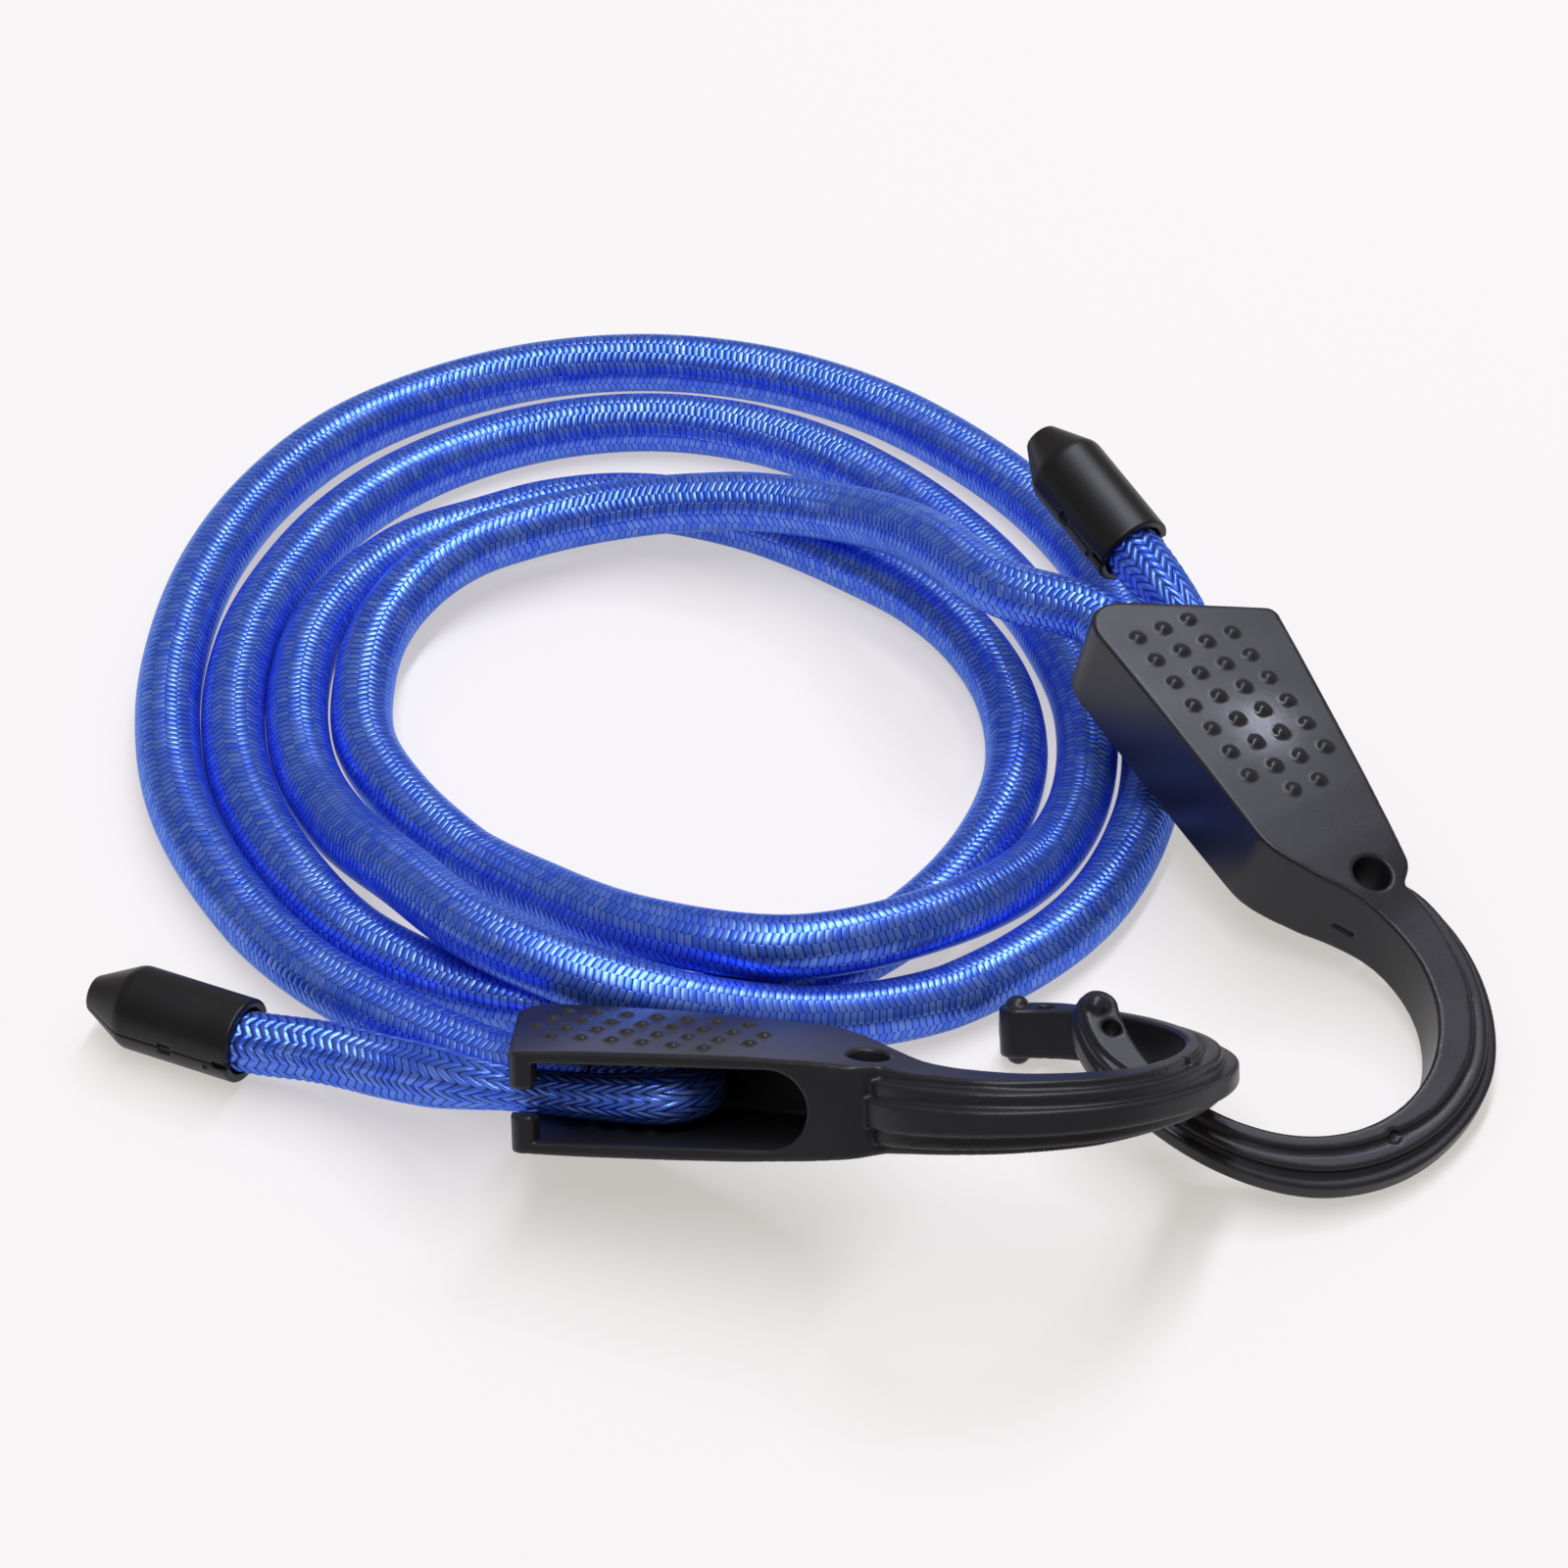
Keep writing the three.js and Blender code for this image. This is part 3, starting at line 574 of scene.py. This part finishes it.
# Heading round the ring, then inner radius, width, half thickness and flat band as shares
arm_shares = np.array([
    [136, 1.00, 0.80, 1.00, 0.80], [124, 1.00, 0.80, 1.00, 0.78], [112, 1.00, 0.86, 1.00, 0.75],
    [106, 1.00, 0.97, 0.99, 0.71], [99, 1.00, 0.99, 0.98, 0.67], [90, 1.00, 0.98, 0.95, 0.60],
    [79, 1.00, 0.95, 0.91, 0.59], [68, 1.00, 0.92, 0.87, 0.58], [56, 1.00, 0.90, 0.84, 0.56],
    [45, 1.00, 0.88, 0.81, 0.55], [33, 1.00, 0.82, 0.77, 0.51], [22, 1.00, 0.77, 0.74, 0.48],
    [11, 1.00, 0.75, 0.72, 0.41], [0, 1.00, 0.74, 0.71, 0.34], [-12, 1.00, 0.72, 0.70, 0.32],
    [-25, 1.00, 0.70, 0.69, 0.30], [-37, 1.00, 0.65, 0.68, 0.33], [-50, 1.00, 0.60, 0.67, 0.36],
    [-62, 1.01, 0.56, 0.66, 0.39], [-75, 1.03, 0.53, 0.66, 0.42], [-84, 1.05, 0.55, 0.65, 0.46],
    [-92, 1.07, 0.58, 0.65, 0.55], [-102, 1.09, 0.63, 0.64, 0.80], [-110, 1.11, 0.62, 0.64, 0.85],
    [-117, 1.12, 0.60, 0.63, 0.85],
])[::-1]

# Place along the body, and half thickness there, as shares of its length and half thickness
body_half_shares = np.array([
    [-0.2, 0.92], [-0.1, 0.95], [0.05, 0.98], [0.25, 1], [0.5, 0.99], [0.67, 0.965],
    [0.83, 0.91], [0.95, 0.85], [1.1, 0.74],
])

# The body's outline: corners as (s, t), going round with the plastic on the left
body_corners = np.array([
    [-10.5, -13.2], [61.8, -13.2], [63.8, -2.3], [60, 5.2], [57.6, 7.0], [5.2, 18],
]) * mm
body_corner_radii = np.array([8, 1.2, 1.2, 2.5, 0.8, 1.6]) * mm


def both(a, b, radius):
    """Distance to what two solids share: the greater one, with the edge rounded."""
    u, v = np.maximum(a + radius, 0), np.maximum(b + radius, 0)
    return np.minimum(np.maximum(a, b), -radius) + np.hypot(u, v)


def either(a, b, radius):
    """Distance to two solids joined: the smaller one, with the corner filled by a fillet."""
    return -both(-a, -b, radius)


def body_plan(s, t):
    """Distance to the body's outline: the greatest of the distances to its six sides, each
    corner rounded by its own radius."""
    sides = []
    for here, after in zip(body_corners, np.roll(body_corners, -1, axis=0)):
        ahead = unit(after - here)
        sides.append((s - here[0]) * ahead[1] - (t - here[1]) * ahead[0])
    plan = sides[0]
    for side, radius in zip(sides[1:], body_corner_radii[1:]):
        plan = both(plan, side, radius)
    return both(plan, both(sides[0], sides[-1], body_corner_radii[0]), 0)


face_draft = 0.4 * mm
face_crown = 0.2 * mm


def body_half_at(s, t):
    """Half thickness of the body: the side profile, more by the draft at the mouth side and
    less by it at the spine, and less by the crown at both, as a parabola across the face."""
    half = smooth_table(s / body_length, body_half_shares) * body_half
    share = (2 * t - spine_reach + mouth_reach) / (spine_reach + mouth_reach)
    return half - face_draft * share - face_crown * share ** 2


# Degrees round the ring: what the tip gives up to its rounding, where the sharp inner edge
# starts to go over to the body's round one and for how far, the same for the face from the
# body's to the arm's, and where the trough starts and ends and how long it takes to deepen
tip_reach = 5.5
edge_from, edge_span = 106, 14
face_from, face_span = 118, 26
trough_from, trough_in_span, trough_to, trough_out_span = -104, 14, 84, 20

ring_edge_radius = 7 * mm
outline_rounding = 0.1 * mm
neck_fillet = mm
face_rounding = 0.5 * mm
flange_overlap = 2 * mm
flange_rounding = 3.4 * mm
flange_fillet = 0.35 * mm
trough_radius = 0.55 * mm
trough_beyond = 0.45 * mm
trough_height_share = 0.86
trough_rounding = 0.2 * mm
inner_flange_reach_share = 0.56
inner_flange_height_share = 0.77
outer_flange_height_share = 0.36


def arm_at(s, t):
    """Heading and radius round the ring's centre, and what the arm's table gives there: inner
    radius, width and half thickness, and the flat band's share of the width."""
    heading = np.degrees(np.arctan2(t - ring_across, s - ring_along))
    radius = np.hypot(t - ring_across, s - ring_along)
    inner, width, half, band = [
        smooth_table(heading, arm_shares[:, [0, k]]) for k in (1, 2, 3, 4)
    ]
    return heading, radius, inner * ring_radius, width * arm_width, half * arm_half, band


def shell(s, t, n):
    """Body and arm as one slab. Its outline is the body's joined to the arm's flat band, less
    the ring, and its half thickness goes over from the body's to the arm's round the neck. Two
    thinner flanges stand outside the band, with a trough beside it, and the tip is round.
    Gives the distance, and the height of the face."""
    heading, radius, inner, width, half, band = arm_at(s, t)
    beyond_tip = np.radians(arm_shares[0, 0] - tip_reach - heading) * (inner + width / 2)
    beyond_start = np.radians(heading - arm_shares[-1, 0]) * radius
    beyond_band = radius - inner - band * width
    outer = either(body_plan(s, t), np.maximum(beyond_band, beyond_start), neck_fillet)
    neck_share = smooth_step((heading - edge_from) / edge_span)
    edge_rounding = outline_rounding + (ring_edge_radius - outline_rounding) * neck_share
    plan = both(outer, inner - radius, edge_rounding)
    plan = both(plan, beyond_tip, band * width / 2 - outline_rounding)
    body_face = body_half_at(s, t)
    face = body_face + (half - body_face) * smooth_step((face_from - heading) / face_span)
    made = both(plan, np.abs(n) - face, face_rounding)
    inner_reach = band + inner_flange_reach_share * (1 - band)
    for reach, height in (
        (inner_reach * width, inner_flange_height_share * half),
        (width, outer_flange_height_share * half),
    ):
        side = np.maximum(radius - inner - reach, inner + flange_overlap - radius)
        side = both(side, beyond_tip, np.clip(reach / 2 - outline_rounding, 0, flange_rounding))
        flange = both(np.maximum(side, beyond_start), np.abs(n) - height, face_rounding)
        made = either(made, flange, flange_fillet)
    fade_in = np.clip((heading - trough_from) / trough_in_span, 0, 1)
    fade_out = np.clip((trough_to - heading) / trough_out_span, 0, 1)
    trough = np.hypot(beyond_band - trough_beyond, np.abs(n) - trough_height_share * half)
    return both(made, trough_radius * fade_in * fade_out - trough, trough_rounding), face


# Grip dots: their rows across the slant as row number, first dot and how many
dot_pitch = 5.2 * mm
dot_row_pitch = 5.8 * mm
dot_slant = np.radians(28.4)
dot_radius = 1.2 * mm
dot_height = 0.62 * mm
dot_fillet = 0.15 * mm
dot_rows = np.array([[-1.5, 1, 7], [-0.5, 0.5, 8], [0.5, 0, 8], [1.5, 0.5, 6]])


def grip_dots(s, t, n, half):
    """Distance to the nearest of the dots, which are caps of balls on both faces."""
    row = np.round(t / (dot_row_pitch * np.cos(dot_slant)) - dot_rows[0, 0])
    row = np.clip(row, 0, len(dot_rows) - 1).astype(int)
    number, first, count = [dot_rows[row, k] for k in range(3)]
    shift = number * dot_row_pitch * np.sin(dot_slant)
    along = np.clip(np.round((s - shift) / dot_pitch - first), 0, count - 1) + first
    ball = (dot_radius ** 2 + dot_height ** 2) / (2 * dot_height)
    depth = half + dot_height - ball
    beside = number * dot_row_pitch * np.cos(dot_slant)
    return np.sqrt(
        (s - along * dot_pitch - shift) ** 2 + (t - beside) ** 2 + (np.abs(n) - depth) ** 2
    ) - ball


tooth_height = 0.6 * mm
tooth_half_width = 1.2 * mm
tooth_half_length = 8 * mm
tooth_slant = np.radians(60)
tooth_place_shares = (0.16, 0.24, 0.32)
slot_length = 50 * mm
corner_radius = 8 * mm
exit_floor = -1.6 * mm
exit_length = 20 * mm
way_in_length = 8 * mm
lip_depth = 3.2 * mm
lip_length = 8.5 * mm
lip_gap = 4 * mm
slot_rounding = 0.8 * mm
lip_rounding = 0.6 * mm
lip_fillet = 0.3 * mm


def cavity(s, t, n):
    """The slot that the fold lies in: a half round end, a floor that goes on round the wide
    corner and leaves the wide end open above it, a round way in for the cord there, three
    slanting teeth on each face, and two lips that narrow the slot at the wide end."""
    far = slot_length - cavity_half
    teeth = np.zeros_like(s)
    for share in tooth_place_shares:
        ahead, beside = s - share * body_length, t
        off = np.abs(ahead * np.sin(tooth_slant) - beside * np.cos(tooth_slant))
        on = np.abs(ahead * np.cos(tooth_slant) + beside * np.sin(tooth_slant))
        rise = tooth_height * np.clip(1 - off / tooth_half_width, 0, 1)
        teeth = np.maximum(teeth, rise * np.clip((tooth_half_length - on) / mm, 0, 1))
    slot = np.hypot(np.maximum(s - far, 0), n) - cavity_half + teeth
    ahead = unit(body_corners[5] - body_corners[0])
    from_edge = (s - body_corners[0, 0]) * ahead[1] - (t - body_corners[0, 1]) * ahead[0]
    from_ring = ring_radius - np.hypot(s - ring_along, t - ring_across)
    floor = both(-mouth_reach - t, from_ring, ring_edge_radius) + mouth_wall
    corner = both(floor, mouth_wall - from_edge, corner_radius - mouth_wall)
    way_out = np.maximum(exit_floor - t, s - exit_length)
    room = both(slot, np.minimum(corner, way_out), slot_rounding)
    way_in = np.hypot(t + leg_across, n) - cord_radius - seam_gap
    room = np.minimum(room, np.maximum(way_in, s - way_in_length))
    outside = np.maximum(spine_reach - lip_depth - t, s - lip_length)
    lip = both(outside, lip_gap / 2 - np.abs(n), lip_rounding)
    return both(room, -lip, lip_fillet)


def polar(heading, share):
    """A place round the ring's centre."""
    angle = np.radians(heading)
    radius = share * ring_radius
    return ring_along + radius * np.cos(angle), ring_across + radius * np.sin(angle)


neck_hole = (0.938 * body_length, 0)
neck_hole_radius = 3.15 * mm
tip_hole = polar(-108.5, 1.2)
tip_hole_radius = 1.5 * mm
pin_pit = polar(2.3, 1.135)
pin_pit_radius = mm
pin_pit_floor = 3 * mm
slit = polar(117, 1.0)
slit_half_length = 1.9 * mm
slit_half_width = 0.4 * mm
slit_depth = 0.5 * mm
slit_below = 2 * mm
knob = polar(-117, 1.265)
knob_radius = 2 * mm
knob_height = 0.63 * arm_half - 0.4 * mm
knob_fillet = 0.3 * mm
hole_rounding = 0.45 * mm
tip_hole_rounding = 0.3 * mm
pit_rounding = 0.25 * mm
fine_rounding = 0.1 * mm


def hook(s, t, n):
    """Distance to the hook's skin: the shell, less the cavity, the hole through the neck, the
    one at the tip, a pin's pit in each face and a slit in the ring's wall, plus the dots and
    the two knobs at the tip."""
    made, face = shell(s, t, n)
    made = either(made, np.maximum(grip_dots(s, t, n, face), body_plan(s, t)), dot_fillet)
    made = both(made, -cavity(s, t, n), hole_rounding)
    neck = np.hypot(s - neck_hole[0], t - neck_hole[1]) - neck_hole_radius
    made = both(made, -neck, hole_rounding)
    tip = np.hypot(s - tip_hole[0], t - tip_hole[1]) - tip_hole_radius
    made = both(made, -tip, tip_hole_rounding)
    pit = np.hypot(s - pin_pit[0], t - pin_pit[1]) - pin_pit_radius
    pit = both(pit, pin_pit_floor - np.abs(n), fine_rounding)
    made = both(made, -pit, pit_rounding)
    cut = np.hypot(s - slit[0], t - slit[1]) - slit_half_length
    cut = np.maximum(cut, np.abs(n + slit_below) - slit_half_width)
    beyond = np.hypot(s - ring_along, t - ring_across) - ring_radius - slit_depth
    made = both(made, -np.maximum(cut, beyond), fine_rounding)
    from_knob = np.hypot(s - knob[0], t - knob[1])
    ball = np.hypot(from_knob, np.abs(n) - knob_height) - knob_radius
    return either(made, ball, knob_fillet)


def moulded(distance, low, high, pitch):
    """Points and quads of the skin where distance is nought. Each cell of a grid that the skin
    passes through gets a point, the mean of where it cuts the cell's edges, and each cut edge
    a quad of the four cells round it. Three steps down the slope then seat the points."""
    axes = [np.arange(a, b + pitch, pitch) for a, b in zip(low, high)]
    field = distance(*np.meshgrid(*axes, indexing="ij")).astype(np.float32)
    size = np.array(field.shape) - 1
    cells, places, quads = [], [], []
    for axis in range(3):
        first, second = np.delete(np.arange(3), axis)
        near = np.take(field, range(size[axis]), axis)
        far = np.take(field, range(1, size[axis] + 1), axis)
        cut = np.argwhere((near < 0) != (far < 0))
        a, b = near[tuple(cut.T)], far[tuple(cut.T)]
        spot = cut.astype(float)
        spot[:, axis] += a / (a - b)
        corners = []
        for step_first, step_second in ((0, 0), (1, 0), (1, 1), (0, 1)):
            cell = cut.copy()
            cell[:, first] -= step_first
            cell[:, second] -= step_second
            corners.append(np.ravel_multi_index(cell.T, size))
        corners = np.column_stack(corners)
        turn = (a < 0) != (axis == 1)
        quads.append(np.where(turn[:, None], corners, corners[:, ::-1]))
        cells.append(corners.T.reshape(-1))
        places.append(np.tile(spot, (4, 1)))
    cells, places, quads = np.concatenate(cells), np.vstack(places), np.vstack(quads)
    used, index = np.unique(cells, return_inverse=True)
    count = np.bincount(index)
    points = np.column_stack([np.bincount(index, places[:, k]) / count for k in range(3)])
    points = points * pitch + np.array(low)
    nudge, steps = 0.05 * mm, 3
    for _ in range(steps):
        here = distance(*points.T)
        slope = np.column_stack([
            (distance(*(points + step).T) - distance(*(points - step).T)) / (2 * nudge)
            for step in np.eye(3) * nudge
        ])
        move = here[:, None] * slope / np.maximum((slope ** 2).sum(axis=1), 0.25)[:, None]
        points = points - np.clip(move, -0.3 * pitch, 0.3 * pitch)
    return points, np.searchsorted(used, quads)


hook_grid = 0.42 * mm
hook_low = (-12 * mm, -64 * mm, -11 * mm)
hook_high = (108 * mm, 21 * mm, 11 * mm)
hook_points, hook_quads = moulded(hook, hook_low, hook_high, hook_grid)
hook_faces = hook_quads.tolist()


rubbed_gloss = 0.2
cloud_paleness = 1.5


def plastic_material(name, colour, roughness, grain):
    """Moulded plastic: a fine grain, faint clouds in its gloss and its shade, and smoother
    where the point attribute rubbed is above nought."""
    material, shader = new_material(name)
    tree = material.node_tree
    coordinates = node(tree, "ShaderNodeTexCoord")
    skin = node(tree, "ShaderNodeTexNoise", {
        "Vector": coordinates.outputs["Object"], "Scale": 1500, "Detail": 3,
    })
    cloud = node(tree, "ShaderNodeTexNoise", {
        "Vector": coordinates.outputs["Object"], "Scale": 90, "Detail": 4,
    })
    dull = node(tree, "ShaderNodeMapRange", {
        "Value": cloud.outputs["Fac"], "From Min": 0.3, "From Max": 0.7,
        "To Min": roughness - 0.03, "To Max": roughness + 0.04,
    })
    rubbed = node(tree, "ShaderNodeAttribute", attribute_name="rubbed")
    gloss = math(tree, "MULTIPLY_ADD", rubbed.outputs["Fac"], -rubbed_gloss, dull.outputs[0])
    pale = tuple(cloud_paleness * c for c in colour[:3]) + (1,)
    shade = node(tree, "ShaderNodeMix", {
        "Factor": math(tree, "POWER", cloud.outputs["Fac"], 3.0), "A": colour, "B": pale,
    }, data_type="RGBA")
    relief = node(tree, "ShaderNodeBump", {
        "Height": skin.outputs["Fac"], "Strength": grain, "Distance": 0.05 * mm,
    })
    tree.links.new(shade.outputs["Result"], shader.inputs["Base Color"])
    tree.links.new(gloss, shader.inputs["Roughness"])
    tree.links.new(relief.outputs["Normal"], shader.inputs["Normal"])
    shader.inputs["Specular IOR Level"].default_value = 0.32
    return material


hook_black = (0.017, 0.0165, 0.021, 1)
hook_finish = plastic_material("hook_nylon", hook_black, roughness=0.34, grain=0.25)

# The face with n above nought is rubbed smooth by the thumb, as a bell round one spot
thumb_spot = np.array([25, 1]) * mm
thumb_radius = 4.8 * mm
from_thumb = np.linalg.norm(hook_points[:, :2] - thumb_spot, axis=1)
rub = np.exp(-from_thumb ** 2 / (2 * thumb_radius ** 2))
hook_rubbed = np.where(hook_points[:, 2] > 0, rub, 0)

for name, pose in (("hook_left", left_hook), ("hook_right", right_hook)):
    place, axes = pose
    piece = new_piece(
        name + "_moulding", hook_points @ axes + place, hook_faces, name, [name]
    )
    piece.data.materials.append(hook_finish)
    rubbed = piece.data.attributes.new("rubbed", "FLOAT", "POINT")
    rubbed.data.foreach_set("value", hook_rubbed)


# The end caps: two half shells in black plastic that close round the cord's end, with a
# pocket for it, a chamfered nose and a pair of pegs in the solid end.

cap_diameter = 13.6 * mm
cap_length = 27.6 * mm
nose_length = 7.6 * mm
nose_diameter = 5.8 * mm
cap_split = 0.08 * mm
split_rounding = 0.15 * mm
peg_radius = 1.2 * mm
peg_height = 2.4 * mm
peg_gap = 0.3 * mm
peg_place_share = 0.72
peg_apart_share = 0.26
rim_rounding = 0.4 * mm
cone_rounding = 0.35 * mm
nose_rounding = 0.2 * mm
pocket_rounding = 0.25 * mm
peg_rounding = 0.2 * mm
notch_place_share = 0.4
notch_half_length = 1.1 * mm
notch_half_width = mm
notch_depth = 0.5 * mm
rim_slit_length = 2.4 * mm
rim_slit_half_width = 0.6 * mm
rim_slit_depth = 0.9 * mm
nub_place = (3.8 * mm, 6.6 * mm, -1.2 * mm)
nub_radius = 0.55 * mm


def cap_round(x, y, z):
    """The cap before it is split: a rod with a cone at its nose, less the pocket and, on the
    split, a catch notch each side and a slit in the rim, with a moulding nub by the slit."""
    radius = np.hypot(y, z)
    rod = both(radius - cap_diameter / 2, -x, rim_rounding)
    run = (cap_diameter - nose_diameter) / 2
    slant = np.hypot(run, nose_length)
    cone = ((radius - nose_diameter / 2) * nose_length - (cap_length - x) * run) / slant
    rod = both(both(rod, cone, cone_rounding), x - cap_length, nose_rounding)
    pocket = both(radius - cord_radius - seam_gap, x - cap_pocket, rim_rounding)
    rod = both(rod, -pocket, pocket_rounding)
    inside = cap_diameter / 2 - np.abs(y)
    notch = np.abs(x - notch_place_share * cap_length) - notch_half_length
    notch = np.maximum(notch, np.maximum(np.abs(z) - notch_half_width, inside - notch_depth))
    cut = np.maximum(np.abs(z) - rim_slit_half_width, inside - rim_slit_depth)
    cut = np.maximum(cut, x - rim_slit_length)
    rod = both(rod, -np.minimum(notch, cut), fine_rounding)
    beside = np.hypot(x - nub_place[0], np.abs(y) - nub_place[1])
    nub = np.hypot(beside, z - nub_place[2]) - nub_radius
    return either(rod, nub, fine_rounding)


def cap_pegs(x, y, z, radius, height):
    """Two upright pegs side by side in the solid end."""
    along, beside = peg_place_share * cap_length, peg_apart_share * cap_diameter
    peg = np.hypot(x - along, np.abs(y) - beside) - radius
    return both(peg, z - height, peg_rounding)


def cap_base(x, y, z):
    """The half below the split, with the pegs standing on it."""
    half = both(cap_round(x, y, z), z + cap_split / 2, split_rounding)
    pegs = np.maximum(cap_pegs(x, y, z, peg_radius, peg_height), -peg_height - z)
    return np.minimum(half, np.maximum(pegs, cap_round(x, y, z)))


def cap_lid(x, y, z):
    """The half above the split, with a hole for each peg."""
    half = both(cap_round(x, y, z), cap_split / 2 - z, split_rounding)
    holes = cap_pegs(x, y, z, peg_radius + peg_gap, peg_height + peg_gap)
    return both(half, -holes, fine_rounding)


cap_grid = 0.28 * mm
cap_margin = 0.6 * mm
cap_reach = cap_diameter / 2 + cap_margin
cap_low = (-cap_margin, -cap_reach, -cap_reach)
cap_high = (cap_length + cap_margin, cap_reach, cap_reach)
cap_halves = {
    "base": moulded(cap_base, cap_low, cap_high, cap_grid),
    "lid": moulded(cap_lid, cap_low, cap_high, cap_grid),
}
cap_black = (0.006, 0.006, 0.007, 1)
cap_finish = plastic_material("cap_plastic", cap_black, roughness=0.38, grain=0.2)
caps = {}
for side, pose in (("left", left_cap), ("right", right_cap)):
    for half, (points, faces) in cap_halves.items():
        node_name = f"end_cap_{side}_{half}"
        piece = new_piece(
            node_name + "_shell", points @ pose[1] + pose[0], faces.tolist(),
            "cord", [node_name],
        )
        piece.data.materials.append(cap_finish)
        caps.setdefault(side, []).append(piece)


# The studio: a pale floor in a warm surround, a long soft box overhead and a small one to the
# back right. Camera, glossy and transmission rays see the floor a little brighter than it
# lights the object, and it keeps the object's shadow.

floor_half = 3.0
floor_lift = 0.53
floor_lift_colour = (0.98, 0.94, 0.9, 1)
floor_colour = (0.403, 0.397, 0.4, 1)
world_colour = (1.0, 0.9, 0.74, 1)
world_strength = 0.28

floor_mesh = bpy.data.meshes.new("floor")
floor_corners = [
    (x * floor_half, y * floor_half, 0) for x, y in ((-1, -1), (1, -1), (1, 1), (-1, 1))
]
floor_mesh.from_pydata(floor_corners, [], [(0, 1, 2, 3)])
floor = bpy.data.objects.new("floor", floor_mesh)
bpy.context.scene.collection.objects.link(floor)

floor_finish, floor_shader = new_material("pale_floor")
floor_tree = floor_finish.node_tree
light_path = node(floor_tree, "ShaderNodeLightPath")
seen = light_path.outputs["Is Camera Ray"]
for ray in ("Is Glossy Ray", "Is Transmission Ray"):
    seen = math(floor_tree, "MAXIMUM", seen, light_path.outputs[ray])
lift = math(floor_tree, "MULTIPLY", seen, floor_lift)
floor_tree.links.new(lift, floor_shader.inputs["Emission Strength"])
floor_shader.inputs["Emission Color"].default_value = floor_lift_colour
floor_shader.inputs["Base Color"].default_value = floor_colour
floor_shader.inputs["Roughness"].default_value = 0.7
floor_shader.inputs["Specular IOR Level"].default_value = 0.1
floor_mesh.materials.append(floor_finish)

world = bpy.data.worlds.new("surround")
bpy.context.scene.world = world
world.use_nodes = True
background = world.node_tree.nodes["Background"]
background.inputs["Color"].default_value = world_colour
background.inputs["Strength"].default_value = world_strength


def soft_box(name, place, width, depth, power, colour):
    """A rectangular lamp that faces the point the camera looks at."""
    data = bpy.data.lights.new(name, "AREA")
    data.shape = "RECTANGLE"
    data.size = width
    data.size_y = depth
    data.energy = power
    data.color = colour
    lamp = bpy.data.objects.new(name, data)
    lamp.location = place
    lamp.rotation_euler = (camera_aim - Vector(place)).to_track_quat("-Z", "Y").to_euler()
    bpy.context.scene.collection.objects.link(lamp)


soft_box(
    "box_overhead", place=(0.02, 0.2, 2.0), width=0.26, depth=3.2, power=47,
    colour=(0.85, 0.88, 1),
)
soft_box(
    "box_right", place=(0.73, 1.01, 1.64), width=0.18, depth=0.18, power=3.2,
    colour=(0.8, 0.83, 1),
)

bpy.context.scene.view_settings.view_transform = "Standard"
